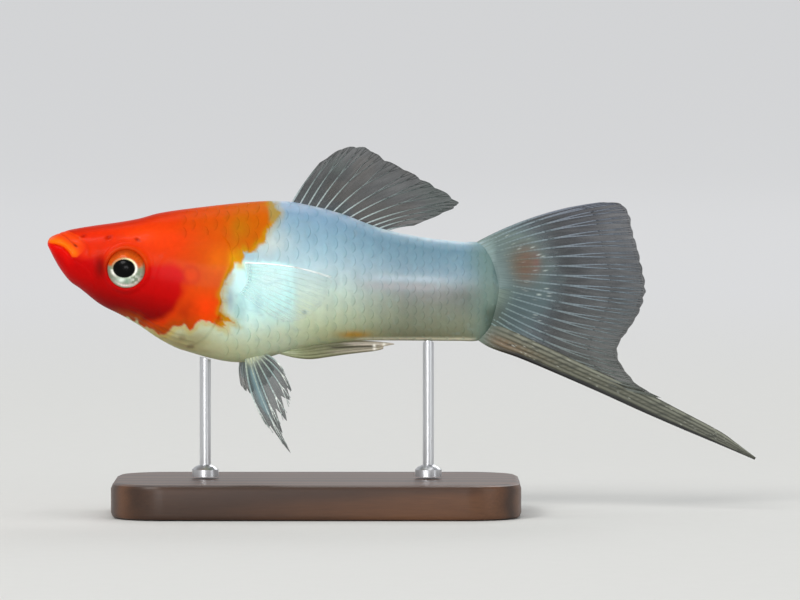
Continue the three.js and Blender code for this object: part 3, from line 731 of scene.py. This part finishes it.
def make_scales():
    """Thin rounded plates in rows on the skin, each with its root sunk and its rear edge just proud."""
    f, t = np.meshgrid(SCALE_ALONG, SCALE_ACROSS, indexing="ij")
    s = f * (0.5 + 0.5 * np.sqrt(1 - (0.985 * t) ** 2))
    rim = smooth(0.8, 1.0, np.maximum(f, np.abs(t) * smooth(0.3, 0.6, f)))
    parts, at, column = [], SCALE_SPACING[0][0], 0
    while at < SCALES_END:
        step = float(np.interp(at, *zip(*SCALE_SPACING)))
        girth = np.interp(at, TABLE_X, GIRTHS)
        for row, side in np.ndindex(SCALE_ROWS + column % 2, 2):
            side = 2 * side - 1
            q = (row + 0.5 - 0.5 * (column % 2)) / SCALE_ROWS
            if q in (0, 1) and side > 0:
                continue
            shift, swing, size = random.normal(0, [0.05, 0.05, 0.04])
            centre = body_point(np.array(at + step), np.array(min(q, 0.999)), side)
            if not has_scale(centre[0], centre[2]):
                continue
            long, wide = 1.95 * step * (1 + size), 0.6 * girth / SCALE_ROWS * (1 + size)
            x = np.clip(at + shift + s * long + 0.06 * swing * t, 0, LENGTH - 0.02)
            place = q + (t * wide + swing * s) / girth
            base = body_point(x, np.where(place > 1, 2 - place, place), side)
            base[..., 1] *= np.where(place > 1, -1, 1)
            normal = surface_normals(base)
            away = body_point(np.array(at + step), np.array(min(max(q, 0.02), 0.98)), side)
            normal *= np.sign(normal[3, 3] @ [0, away[1], away[2] - along(WIDEST_AT, at)])
            sunk = 0.006 + 0.02 * smooth(60.5, 62.5, at) + 0.03 * under_fin(centre[0], centre[2])
            top = 0.052 * s + 0.012 * (1 - t**2) * s - 0.04 - sunk
            patch = (0.01 + 0.9 * at / LENGTH + 0.003 * (f - 0.5), 0.5 + 0.49 * side * q + 0.0015 * t)
            shade = (1 + 0.02 * random.normal()) * (1.003 - 0.012 * rim)
            layers = {"place": base, "shade": shade, "uv": np.stack(patch, -1)}
            middle = base + normal * (top - SCALE_HALF)[..., None]
            parts.append(sheet(middle, normal, SCALE_HALF + 0 * t, layers))
        at += step
        column += 1
    points, faces, layers = join(parts)
    layers = {"tint": marking(layers["place"]) * layers["shade"], "uv": layers["uv"]}
    piece("scales", (points, faces, layers), flesh("fish_scales", 0.28))


# Fins

def tail_sweep(x):
    return 0.0011 * np.maximum(x - 62, 0) ** 2


RAY_STEP = 0.22  # millimetres between a ray's rings
RAY_JOINT = 0.55  # length of a ray's joints
MEMBRANE_HALF = 0.05  # half the thickness of a fin's skin
MEMBRANE_ROWS = 44  # from its root to its edge
GAP_STEPS = 8  # steps across the skin from one ray to the next
NUDGE = 0.003  # step in u and v by which a fin's normal is measured

# Each fin has its number of rays, the lines of their roots and tips, how they bow, and how far they lie
# from the fish's middle plane, by u across the fin and v out along it. Then come where they split, their
# width, how far the skin falls short between them, and how thick and how long its fleshy root is.
PELVIC = dict(rays=7, bow=lambda u: -0.07 + 0.16 * u, split=0.62, root=(0.4, 0.08))
FINS = {
    "dorsal_fin": dict(
        rays=13, roots=[(x, float(along(BACK, x)) - 0.5) for x in (34.6, 38, 41.5, 44.8, 47.6)],
        tips=[
            (38.8, 11.5), (42.0, 13.5), (45.2, 13.7), (48.2, 11.9), (52.3, 9.8), (55.4, 7.9), (58.5, 5.7),
            (56.4, 4.3), (52.2, 2.5),
        ],
        bow=lambda u: 0.02 + 0.03 * u, depth=lambda u, v: 0.5 * v * v * np.sin(3 * u + 0.4),
        split=0.5, width=0.14, notch=0.025, root=(0.3, 0.035),
    ),
    "caudal_fin": dict(
        rays=20, roots=[(60.9, -0.2), (62.5, -1.5), (63.4, -4.0), (63.7, -6.6), (63.2, -9.2), (62.0, -11.4)],
        tips=[
            (79.1, 5.8), (81.6, 5.6), (82.9, 4.1), (83.3, 2.0), (83.9, -0.2), (84.5, -2.4), (84.9, -4.6),
            (85.2, -6.8), (84.7, -8.8), (83.9, -10.6), (82.7, -12.5), (81.5, -14.2), (81.2, -16.2),
            (82.4, -18.3), (84.2, -20.3), (87.4, -22.1),
        ],
        bow=lambda u: 0.05 - 0.1 * smooth(0, 0.9, u),
        depth=lambda u, v: tail_sweep(62 + 22 * v) + 0.35 * np.sin(5 * u) * v * v,
        split=0.42, width=0.22, notch=0.009, root=(1.1, 0.11),
    ),
    "pelvic_fin_left": dict(
        PELVIC, roots=[(28.2, -16.0), (29.4, -15.9), (30.7, -15.7)],
        tips=[
            (31.2, -25.8), (34.3, -29.2), (33.2, -26.3), (33.9, -24.7), (34.6, -22.6), (34.6, -20.4),
            (33.6, -17.9),
        ],
        depth=lambda u, v: -1.5 - 3.0 * v, width=0.16, notch=0.2,
    ),
    "pelvic_fin_right": dict(
        PELVIC, roots=[(27.6, -16.0), (28.6, -15.9), (29.7, -15.8)],
        tips=[
            (27.3, -20.9), (27.9, -21.6), (28.7, -21.9), (29.8, -21.5), (30.8, -20.7), (31.5, -19.8),
            (32.0, -18.6),
        ],
        depth=lambda u, v: 1.5 + 9.5 * v, width=0.14, notch=0.14,
    ),
}
for fin_name, fin_side in SIDES.items():
    FINS[f"pectoral_fin_{fin_name}"] = dict(
        rays=12, roots=[(27.0, -2.7), (27.3, -3.9), (27.3, -5.1), (26.9, -6.3)],
        tips=[
            (40.7, -4.6), (40.4, -6.0), (39.8, -7.5), (38.8, -8.9), (37.4, -10.1), (35.7, -10.8),
            (33.8, -11.0),
        ],
        bow=lambda u: 0.045 * (1 - 1.6 * u),
        depth=lambda u, v, side=fin_side: side * (4.7 + 1.75 * smooth(0, 0.21, v) + 1.5 * v + 0.5 * v * v),
        split=0.6, width=0.055, notch=0.02, root=(0.25, 0.06), lead=1.4, joints=0.1,
    )


def fin_point(fin, u, v):
    """A point of a fin's middle plane, u across it and v out from its root."""
    root, tip = curve(fin["roots"], u), curve(fin["tips"], u)
    run = tip - root
    bend = 4 * v * (1 - v) * fin["bow"](u)
    x = root[..., 0] + run[..., 0] * v - run[..., 1] * bend
    z = root[..., 1] + run[..., 1] * v + run[..., 0] * bend
    return np.stack([x, fin["depth"](u, v), z], -1)


def fin_normal(fin, u, v):
    across = fin_point(fin, np.clip(u + NUDGE, 0, 1), v) - fin_point(fin, np.clip(u - NUDGE, 0, 1), v)
    return unit(np.cross(across, fin_point(fin, u, v + NUDGE) - fin_point(fin, u, v - NUDGE)))


def root_swell(fin, u, v):
    """How much thicker than elsewhere half a fin's skin is at its root."""
    swell, fade = fin["root"]
    rise = 0.68 + 0.32 * smooth(0, 0.5 * fade, v)
    across = 0.25 + 0.75 * np.sin(np.pi * np.clip(u, 0, 1)) ** 0.6
    return swell * rise * across * np.exp(-np.maximum(v, 0) / fade)


def membrane(name, fin, colour):
    """A fin's thin skin, a little short of the rays' tips and with the body's own colour at its root."""
    gaps, notch, fade = fin["rays"] - 1, fin["notch"], fin["root"][1]
    u, v = np.meshgrid(
        np.linspace(0, 1, gaps * GAP_STEPS + 1), np.linspace(0, 1, MEMBRANE_ROWS) ** 1.2, indexing="ij")
    between = np.abs(u * gaps - np.round(u * gaps)) * 2
    ragged = 0.4 * notch * mottle(u * gaps, u * 0, 0.3, len(name))
    reach = fin_point(fin, u, np.ones_like(v)) - fin_point(fin, u, np.zeros_like(v))
    length = np.linalg.norm(reach, axis=-1)
    v = v * (1 - notch * between**1.3 - ragged)
    middle = fin_point(fin, u, v)
    tint, alpha = colour(middle[..., 0], middle[..., 2], u, v)
    body = marking(middle.reshape(-1, 3)).reshape(middle.shape)
    layers = {
        "tint": paint(tint, (body, fall(0.2 * fade, 1.6 * fade, v))),
        "alpha": alpha + (1 - alpha) * fall(0.8 * fade, 2.6 * fade, v),
        "lie": np.stack([u * gaps * 5.0, v * length * 0.3, 0 * v], -1),
    }
    part = sheet(middle, fin_normal(fin, u, v), MEMBRANE_HALF + root_swell(fin, u, v), layers)
    piece(name + "_membrane", part, MEMBRANE, [name])


def rays_piece(name, fin, shade):
    """A fin's rays: jointed stems that fork twice."""
    gap, split, jointed = 1 / (fin["rays"] - 1), fin["split"], fin.get("joints", 1)
    second = split + 0.6 * (1 - split)
    levels = [  # from v to v, offsets in gaps across the fin at both ends, and shares of the width there
        (0.0, split, [0.0], [0.0], 1.0, 0.72),
        (split, second, [0.0, 0.0], [-0.17, 0.17], 0.68, 0.54),
        (second, 0.985, [-0.17, -0.17, 0.17, 0.17], [-0.3, -0.12, 0.12, 0.3], 0.46, 0.22),
    ]
    parts = []
    for u0, (v0, v1, starts, ends, r0, r1) in itertools.product(np.linspace(0, 1, fin["rays"]), levels):
        stem = fin_point(fin, np.full(9, u0), np.linspace(v0, v1, 9))
        run = np.linalg.norm(np.diff(stem, axis=0), axis=1).sum()
        v = np.linspace(v0, v1, max(4, int(run / RAY_STEP)))
        share = (v - v0) / (v1 - v0)
        joint = 0.5 + 0.5 * np.cos(2 * np.pi * v * run / (v1 - v0) / RAY_JOINT)
        width = fin["width"] * (1 + fin.get("lead", 0) * max(0, 1 - u0 / gap))
        radius = width * (r0 + (r1 - r0) * share) * (1 + 0.12 * jointed * joint)
        lines = np.clip(u0 + gap * np.array([starts, ends]), 0, 1).T
        for a, b in dict.fromkeys(map(tuple, lines.tolist())):
            u = a + (b - a) * smooth(0, 1, share)
            path = fin_point(fin, u, v)
            thick = 0.03 + radius * 0.5 + 0.95 * root_swell(fin, u, v)
            tint = shade(path[:, 0], path[:, 2], u, v) * (1 + jointed * (0.28 * joint - 0.14))[:, None]
            tint = np.concatenate([np.repeat(tint, RAY_SIDES, 0), tint[:1], tint[-1:]])
            parts.append((*tube(path, fin_normal(fin, u, v), radius, thick), {"tint": tint}))
    piece(name + "_rays", join(parts), RAYS)


def tail_spot(x, z):
    """The brownish orange spot at the root of the tail fin."""
    return np.exp(-((np.hypot((x - 67.7) / 2.6, (z + 3.0) / 2.5)) ** 2.5))


def dorsal_colour(x, z, u, v):
    cloud = mottle(x, z, 3.4, 14)
    tint = ramp({0: "#3c4a52", 0.12: "#20292c", 0.4: "#1a2020", 1: "#191d1c"}, v)
    tint = paint(
        tint,
        ("#1c3029", 0.8 * smooth(0.1, 0.6, cloud)),
        ("#34302a", 0.8 * smooth(0.1, 0.6, -cloud)),
    )
    return tint, 0.8 - 0.2 * smooth(0.2, 1, v) + 0.05 * mottle(x, z, 3.0, 4)


def caudal_colour(x, z, u, v):
    """The tail fin: fleshy and opaque towards its root, where its spot and its glints lie."""
    reach = 0.16 + 0.26 * np.sin(np.pi * np.clip(0.1 + 0.85 * u, 0, 1)) ** 0.8
    grain = 0.05 * mottle(x, z, 1.6, 8)
    flesh_tint = ramp({0: "#5f706a", 0.3: "#5a6c6a", 0.6: "#465a5d", 1: "#354446"}, u)
    edge_tint = ramp({0: "#202030", 0.5: "#1a2226", 1: "#262916"}, u)
    spot = tail_spot(x, z)
    glints = smooth(0.78, 0.92, mottle(x, z, 0.13, 61)) * bump(v, reach - 0.08, 0.14)
    tint = ramp({0: "#768b84", 0.18: "#62767a", 0.36: "#34434a", 0.5: "#161e21", 1: "#121718"}, v)
    tint = paint(
        tint,
        (edge_tint, 0.7 * smooth(0.4, 0.7, v)),
        (flesh_tint, fall(-0.12, 0.07, v - reach + grain)),
        ("#5e503c", 0.85 * spot),
        ("#704a36", 0.6 * bump(x, 68.2, 1.2) * spot),
        ("#84382e", 0.4 * bump(x, 69.6, 0.5) * bump(z, -2.8, 1.5)),
        ("#cfdad6", 0.6 * glints),
    )
    alpha = 0.81 - 0.21 * smooth(0.4, 1, v) + 0.05 * mottle(x, z, 3.5, 6)
    return tint, np.maximum(alpha, np.maximum(0.95 * fall(-0.08, 0.14, v - reach + grain), 0.9 * spot))


def pelvic_colour(x, z, u, v):
    tint = ramp({0: "#8a9484", 0.2: "#3c4846", 1: "#222a2a"}, v)
    streak = bump(u, 0.16, 0.1) * smooth(0.08, 0.2, v) * fall(0.55, 0.72, v)
    return paint(tint, ("#7f9ea4", 0.95 * streak)), 0.74 - 0.2 * smooth(0, 0.5, v) + 0.2 * streak


def pectoral_colour(x, z, u, v):
    tint = ramp({0: "#e4fbfa", 0.4: "#d9f0ee", 1: "#c0d2d0"}, v)
    return tint, 0.09 - 0.06 * smooth(0.1, 0.7, v)


def dorsal_ray(x, z, u, v):
    return ramp({0: "#b4c0c0", 0.2: "#98a5a4", 0.45: "#6e7a79", 0.7: "#545e5d", 1: "#4a5352"}, v)


def caudal_ray(x, z, u, v):
    far = ramp({0: "#6c6a7c", 0.5: "#74808a", 1: "#6a6a52"}, u)
    tint = ramp({0: "#6f837d", 0.25: "#6c7e82", 0.45: "#78868b", 0.7: "#66737a", 1: "#4a565a"}, v)
    return paint(tint, (far, 0.45 * smooth(0.3, 0.6, v)), ("#665640", 0.85 * tail_spot(x, z)))


def pelvic_ray(x, z, u, v):
    tint = ramp({0: "#9ea68e", 0.4: "#8ea4a4", 0.7: "#b4c2be", 1: "#8a9490"}, v)
    beads = 0.5 + 0.5 * np.cos(2 * np.pi * v * 26)
    return paint(tint, ("#f6faf4", beads * bump(v, 0.74, 0.14)))


def pectoral_ray(x, z, u, v):
    tint = ramp({0: "#daf8f6", 0.4: "#cdebe8", 0.7: "#bfd6d2", 1: "#b8ccc6"}, v)
    return paint(tint, ("#ffffff", fall(0.02, 0.08, u) * (1 - 0.5 * smooth(0.4, 0.9, v))))


LOOKS = {
    "dorsal": (dorsal_colour, dorsal_ray), "caudal": (caudal_colour, caudal_ray),
    "pelvic": (pelvic_colour, pelvic_ray), "pectoral": (pectoral_colour, pectoral_ray),
}
for fin_name, fin in FINS.items():
    colour, shade = LOOKS[fin_name.split("_")[0]]
    membrane(fin_name, fin, colour)
    rays_piece(fin_name, fin, shade)
make_scales()


# Sword and gonopodium

SWORD = ray_look("sword_skin")


def blade(name, above, below, rays, thickness, colour, sweep=lambda x: 0 * x, rows=170):
    """A long blade of fin rays that lie side by side, between an upper and a lower line."""
    v, u = np.meshgrid(np.linspace(0, 1, rows), np.linspace(0, 1, rays * GAP_STEPS + 1), indexing="ij")
    top, bottom = curve(above, v[:, 0]), curve(below, v[:, 0])
    x, z = np.moveaxis(top[:, None] + (bottom - top)[:, None] * u[..., None], -1, 0)
    swell = np.abs(np.sin(np.pi * u * rays)) ** 0.7
    joint = 0.5 + 0.5 * np.cos(2 * np.pi * (v * rows / 3.2 + 0.3 * np.floor(u * rays)))
    half = thickness(v) * (0.4 + 0.6 * np.sin(np.pi * np.clip(u, 0.03, 0.97)) ** 0.7)
    half += 0.16 * swell * (1 - 0.6 * v) * smooth(0.03, 0.2, v) + 0.02 * joint * swell
    middle = np.stack([x, sweep(x), z], -1)
    body = marking(middle.reshape(-1, 3)).reshape(middle.shape)
    tint = paint(body, (colour(x, z, u, v, swell, joint), smooth(0.03, 0.2, v)))
    part = sheet(middle, np.array([0.0, -1.0, 0.0]), half, {"tint": tint})
    piece(name + "_blade", part, SWORD, [name])


def sword_colour(x, z, u, v, swell, joint):
    pale = bump(u, 0.1, 0.1) + 0.6 * bump(u, 0.3, 0.08) + 0.55 * bump(u, 0.52, 0.07) * joint
    pale += 0.4 * bump(u, 0.71, 0.07)
    glints = smooth(0.84, 0.94, mottle(x, z, 0.2, 67))
    rough = 0.02 * mottle(x, z, 1.0, 43)
    tint = ramp({0: "#626858", 0.12: "#5d5b48", 0.5: "#525345", 0.9: "#4f5046", 1: "#3a3a34"}, v)
    tint = paint(
        tint,
        ("#8a6440", 0.65 * bump(v, 0.14, 0.1) * bump(u, 0.66, 0.24)),
        ("#87897a", 0.8 * pale * swell * smooth(0.02, 0.2, v)),
        ("#2c3029", 0.85 * fall(0.1, 0.7, swell) * smooth(0.05, 0.2, v)),
        ("#262a24", 0.5 * smooth(0.4, 0.75, mottle(x * 0.5, z * 2, 0.9, 41))),
        ("#c6cabf", 0.7 * glints),
    )
    return paint(tint, ("#0b0b0a", smooth(0.78, 0.86, u + rough) * smooth(0.05, 0.25, v)))


def gonopodium_colour(x, z, u, v, swell, joint):
    groove = bump(z, -14.82 + 0.02 * (x - 42), 0.14) * smooth(39.5, 41, x) * fall(46, 47.5, x)
    tint = ramp({0: "#a2a880", 0.25: "#858864", 0.5: "#77755a", 0.75: "#9a917c", 1: "#b8ae9a"}, v)
    tint = paint(
        tint,
        ("#d2c8ba", 0.9 * bump(z, -14.35, 0.2) * smooth(41, 44, x)),
        ("#b4ab98", 0.8 * bump(z, -15.25 + 0.08 * (x - 44), 0.2) * smooth(39, 42, x)),
        ("#2f2a18", 0.9 * groove),
        ("#3c3822", 0.5 * fall(0.1, 0.6, swell) * smooth(0.2, 0.4, v)),
    )
    for at, level in ((46.5, -14.6), (46.5, -15.1), (47.9, -14.45)):
        tint = paint(tint, ("#f6f4ea", np.exp(-((x - at) ** 2 + (z - level) ** 2) / 0.045)))
    return tint


blade(
    "sword",
    above=[
        (62.0, -10.9), (64.4, -11.7), (71.5, -15.0), (78.7, -18.4), (84.4, -20.9), (90, -23.8),
        (95.8, -26.9), (98.2, -28.6), (101.0, -30.7),
    ],
    below=[
        (60.6, -13.4), (63, -14.9), (67.3, -16.45), (73, -18.85), (78.7, -21.35), (84.4, -23.95),
        (90, -26.4), (95.8, -28.85), (100.8, -31.0),
    ],
    rays=5, thickness=lambda v: 0.42 - 0.2 * smooth(0.05, 0.9, v), colour=sword_colour, sweep=tail_sweep,
)
blade(
    "gonopodium",
    above=[(33.4, -15.2), (36, -14.7), (39, -14.2), (42, -14.0), (45, -13.95), (47.5, -14.1), (49.2, -14.3)],
    below=[
        (32.9, -15.8), (35.2, -16.35), (37.5, -16.55), (39.9, -16.25), (42, -15.95), (44.4, -15.65),
        (46.5, -15.4), (47.7, -15.1), (47.9, -14.75), (49.4, -14.45),
    ],
    rays=4, thickness=lambda v: 0.8 - 0.55 * smooth(0.05, 0.55, v), colour=gonopodium_colour, rows=110,
)


# Eyes

EYE_TURNS = 96  # points round the eye
EYE_DEPTH = 1.2  # how far its rim reaches in under the skin


def eye_look():
    look = Material("eye_surface", Roughness=0.3, Specular_IOR_Level=0.05,
                    Coat_Weight=0.1, Coat_Roughness=0.03)
    streaks = look.grains(look.layer("lie", "Vector"), 1.0, 3.0)
    look.wire("Base Color", look.vary(look.layer("tint", "Color"), streaks, 0.7, 1.3))
    look.wire("Metallic", look.layer("metal", "Fac"))
    look.emboss(streaks, 0.3, 0.00004)
    return look.made


def pupil_share(dx, dz):
    """How far a place is from the middle of the pupil, which is 1 at its edge."""
    return np.hypot((dx + 0.28) / 1.56, (dz - 0.06) / 1.29)


def make_eye(name, side, material):
    """The eye as one dome: a black pupil with the lens behind it, a silver ring with painted glints, and a
    brown rim darkened with painted shade.
    """
    x, z = EYE
    rim = EYE_RADIUS + 0.1
    rings = np.concatenate([[0.0005], np.linspace(0.06, 1.6, 22), np.linspace(1.66, rim, 20)])
    r, turn = np.meshgrid(rings, np.linspace(0, 2 * np.pi, EYE_TURNS + 1)[:-1], indexing="ij")
    dx, dz = r * np.cos(turn), r * np.sin(turn)
    pupil = pupil_share(dx, dz)
    dome = EYE_PROUD - (EYE_PROUD + 0.32) * (r / rim) ** 2.3
    dome += 0.14 * np.clip(1 - pupil**2, 0, 1) - 0.07 * bump(pupil, 1.05, 0.12)
    tilt = (side_width(x + 2.0, z) - side_width(x - 2.0, z)) / 4
    lean = (side_width(x, z + 1.6) - side_width(x, z - 1.6)) / 3.2
    y = side * (side_width(x, z) + dome + 0.8 * tilt * dx + 0.5 * lean * dz)
    front = np.stack([x + dx, y, z + dz], -1)
    points, faces = closed(np.concatenate([front, front[-1:] - [0, side * EYE_DEPTH, 0]]))
    dx, dz = points[:, 0] - x, points[:, 2] - z
    r = np.hypot(dx, dz)
    pupil = pupil_share(dx, dz)
    up = dz / (r + 0.01)
    grain = mottle(dx, dz, 0.42, 51)
    turn = np.degrees(np.arctan2(dz, dx))
    brown = smooth(-0.02, 0.42, up + 0.15 * grain)
    tint = tone("#8a9a82")
    tint = paint(
        tint,
        ("#7a7868", 0.7 * bump(turn, -158, 26)),
        # Painted highlight: a white glint on the lower silver of the iris.
        ("#f2fff2", 0.95 * bump(turn, -112, 20) * bump(pupil, 1.3, 0.28)),
        ("#74a084", 0.8 * bump(turn, -84, 12) * bump(pupil, 1.45, 0.25)),
        # Painted highlight: a second pale glint on the silver, to the lower right.
        ("#e6ece0", 0.8 * bump(turn, -50, 26) * smooth(-0.05, 0.3, grain)),
        ("#a08a58", 0.8 * bump(turn, 24, 22) * smooth(1.2, 1.4, pupil)),
        ("#cc520c", brown * smooth(1.1, 1.24, pupil)),
        # Painted shade: the top edge of the eye is darkened under the brow.
        ("#a23404", 0.8 * brown * bump(r, EYE_RADIUS - 0.1, 0.3) * smooth(0.3, 0.9, up)),
        ("#ffe9a8", 0.95 * bump(pupil, 1.1, 0.1) * bump(turn, 50, 50)),
        ("#fffaf0", 0.95 * bump(pupil, 1.11, 0.13) * bump(turn, -5, 42)),
        ("#fffdf2", 0.95 * bump(pupil, 1.13, 0.15) * bump(turn, -165, 25)),
        ("#e88a4c", 0.9 * bump(pupil, 1.08, 0.09) * bump(turn, 135, 30)),
        ("#fff0ea", 0.95 * bump(r, EYE_RADIUS - 0.25, 0.17) * bump(turn, -95, 32)),
        # Painted shade: the eye's edge is darkened where it meets the socket.
        ("#a03408", 0.4 * smooth(EYE_RADIUS - 0.05, EYE_RADIUS + 0.05, r)),
        ("#010101", fall(0.98, 1.04, pupil)),
    )
    layers = {
        "tint": tint,
        "metal": (
            0.25 * smooth(0.98, 1.06, pupil) * fall(EYE_RADIUS - 0.2, EYE_RADIUS, r) * (1 - 0.8 * brown)
        ),
        "lie": np.stack([np.arctan2(dz, dx) * 9, r * 1.2, 0 * r], -1),
    }
    piece("eyeball_" + name, (points, faces, layers), material, ["eye_" + name])


eye_surface = eye_look()
for eye_name, eye_side in SIDES.items():
    make_eye(eye_name, eye_side, eye_surface)


# Stand

SOFT_ANGLE = math.radians(40)  # faces that meet at less than this are shaded as one


def wood():
    look = Material("walnut", Roughness=0.45, Specular_IOR_Level=0.35, Coat_Weight=0.18, Coat_Roughness=0.25)
    place = look.place()
    lengthwise = look.stretched(place, (12.0, 90.0, 140.0))
    fleck = look.grains(look.stretched(place, (300.0, 4000.0, 4000.0)), 1.0, 2.0)
    links = {"Vector": lengthwise, "Scale": 0.6, "Distortion": 9.0, "Detail": 3.0}
    band = look.node("ValToRGB", "Color", {"Fac": look.node("TexWave", "Fac", links, bands_direction="Y")})
    for stop, code in zip(band.node.color_ramp.elements, ("#3a2314", "#5d3b23")):
        stop.color = (*tone(code), 1)
    colour = look.vary(band, look.grains(lengthwise, 1.2, 4.0), 0.7, 1.3)
    look.wire("Base Color", look.vary(colour, fleck, 0.72, 1.2))
    look.emboss(fleck, 0.25, 0.00005)
    return look.made


def steel():
    look = Material("brushed_rod", Base_Color=(0.62, 0.63, 0.65, 1), Metallic=1.0)
    lines = look.grains(look.stretched(look.place(), (3000.0, 3000.0, 160.0)), 1.0, 2.0)
    look.wire("Roughness", look.spread(lines, 0.22, 0.4))
    look.emboss(lines, 0.12, 0.00002)
    return look.made


def soften(mesh):
    """Shade the stand's gently bent surfaces as smooth ones. Its shape stays as it is."""
    normals = np.round([face.normal for face in mesh.polygons], 3)
    facing, facet = np.unique(normals, axis=0, return_inverse=True)
    facet = facet.reshape(-1)
    size = np.bincount(facet, [face.area for face in mesh.polygons])
    owner = facet[np.repeat(np.arange(len(facet)), [face.loop_total for face in mesh.polygons])]
    place = np.array([mesh.vertices[loop.vertex_index].co for loop in mesh.loops])
    key = np.unique(np.round(place, 7), axis=0, return_inverse=True)[1].reshape(-1)
    mixed = []
    for corner, own in enumerate(owner):
        near = np.unique(owner[key == key[corner]])
        near = near[facing[near] @ facing[own] > math.cos(SOFT_ANGLE)]
        mixed.append(Vector((facing[near] * size[near, None]).sum(0)).normalized())
    mesh.polygons.foreach_set("use_smooth", [True] * len(facet))
    mesh.normals_split_custom_set(mixed)


rod_steel = steel()
STAND = {"stand_base": wood(), "stand_rod_front": rod_steel, "stand_rod_rear": rod_steel}
for node_name, look in STAND.items():
    stand_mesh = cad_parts[node_name].data
    stand_mesh.materials.clear()
    stand_mesh.materials.append(look)
    soften(stand_mesh)


# Stage, lights and camera

GLOW = 0.6  # of the paper far out
FLOOR_SPOKES = 96
FLAT, BEND, HEIGHT = 2.4, 1.4, 3.6  # how far the floor is flat, how wide it curves up, and how high it ends


def paper():
    """Pale paper. Further out it turns dark and glows, like a light tent."""
    look = Material("floor_paper", Roughness=0.9, Specular_IOR_Level=0.2, Emission_Color=(0.97, 0.98, 1, 1))
    place = look.place()
    away = look.node("VectorMath", "Value", {0: place}, operation="LENGTH")
    reach = {"Value": away, "From Min": 0.2, "From Max": 1.0}
    share = look.node("MapRange", "Result", reach, interpolation_type="SMOOTHSTEP")
    tones = {"Factor": share, "A": (*tone("#dadad7"), 1), "B": (*tone("#50504f"), 1)}
    colour = look.node("Mix", "Result", tones, data_type="RGBA")
    look.wire("Base Color", look.vary(colour, look.grains(place, 300.0, 2.0), 0.985, 1.015))
    look.wire("Emission Strength", look.spread(share, 0.0, GLOW))
    return look.made


def make_stage():
    """A round floor that curves up all round."""
    profile = [(r, 0) for r in (0.02, 0.4, 0.8, 1.3, 1.8, FLAT)]
    bends = np.linspace(0, math.pi / 2, 16)[1:]
    profile += [(FLAT + BEND * math.sin(a), BEND - BEND * math.cos(a)) for a in bends]
    profile += [(FLAT + BEND, HEIGHT)]
    turns = 2 * np.pi * np.arange(FLOOR_SPOKES) / FLOOR_SPOKES
    points = [(r * math.cos(t), r * math.sin(t), z) for r, z in profile for t in turns]
    faces = [tuple(f[::-1]) for f in grid_faces(len(profile), FLOOR_SPOKES, wrap=True).tolist()]
    mesh = bpy.data.meshes.new("floor")
    mesh.from_pydata(points, [], [*faces, tuple(range(FLOOR_SPOKES))])
    mesh.polygons.foreach_set("use_smooth", [True] * len(mesh.polygons))
    mesh.materials.append(paper())
    floor = bpy.data.objects.new("floor", mesh)
    bpy.context.scene.collection.objects.link(floor)


def add_light(name, place, aim, size, power, colour=(1, 1, 1)):
    data = bpy.data.lights.new(name, "AREA")
    data.shape, data.size, data.energy, data.color = "DISK", size, power, colour
    light = bpy.data.objects.new(name, data)
    light.location = place
    direction = np.array(aim) - np.array(place)
    light.rotation_euler = Vector(direction).to_track_quat("-Z", "Y").to_euler()
    light.visible_camera = False
    bpy.context.scene.collection.objects.link(light)


make_stage()
add_light("key", (-1.2, -1.8, 1.7), (0, 0, 0.035), 1.1, 31, (1, 0.99, 0.97))
add_light("top", (0.1, 0.2, 2.4), (0, 0, 0.03), 1.6, 14)
add_light("fill", (2.0, -1.7, 0.5), (0, 0, 0.03), 1.2, 8, (0.97, 0.99, 1))
add_light("front", (-0.5, -2.3, 0.2), (0, 0, 0.03), 0.8, 12)
add_light("back", (0.6, 2.0, 1.5), (0, 0, 0.03), 1.2, 10, (0.98, 0.99, 1))

world = bpy.data.worlds.new("studio")
world.use_nodes = True
background = world.node_tree.nodes["Background"].inputs
background["Color"].default_value = (0.8, 0.815, 0.83, 1)
background["Strength"].default_value = 0.34
bpy.context.scene.world = world
bpy.context.scene.view_settings.view_transform = "Standard"

PIXEL = 0.1425  # millimetres across one pixel of the picture, at the fish's middle plane
SNOUT = (48, 243)  # pixel of the tip of the snout
PICTURE = (800, 600)
RANGE = 1.0  # metres from the fish
TILT = math.radians(2)  # looking down
SENSOR = 36
target = to_row(np.array([(PICTURE[0] / 2 - SNOUT[0]) * PIXEL, 0, (SNOUT[1] - PICTURE[1] / 2) * PIXEL]))
camera_data = bpy.data.cameras.new("camera")
camera_data.sensor_width = SENSOR
camera_data.lens = SENSOR * RANGE / (PICTURE[0] * PIXEL * 0.001)
camera_data.clip_start, camera_data.clip_end = 0.01, 20
camera = bpy.data.objects.new("camera", camera_data)
camera.location = target + RANGE * np.array([0, -math.cos(TILT), math.sin(TILT)])
camera.rotation_euler = (math.pi / 2 - TILT, 0, 0)
bpy.context.scene.collection.objects.link(camera)
bpy.context.scene.camera = camera
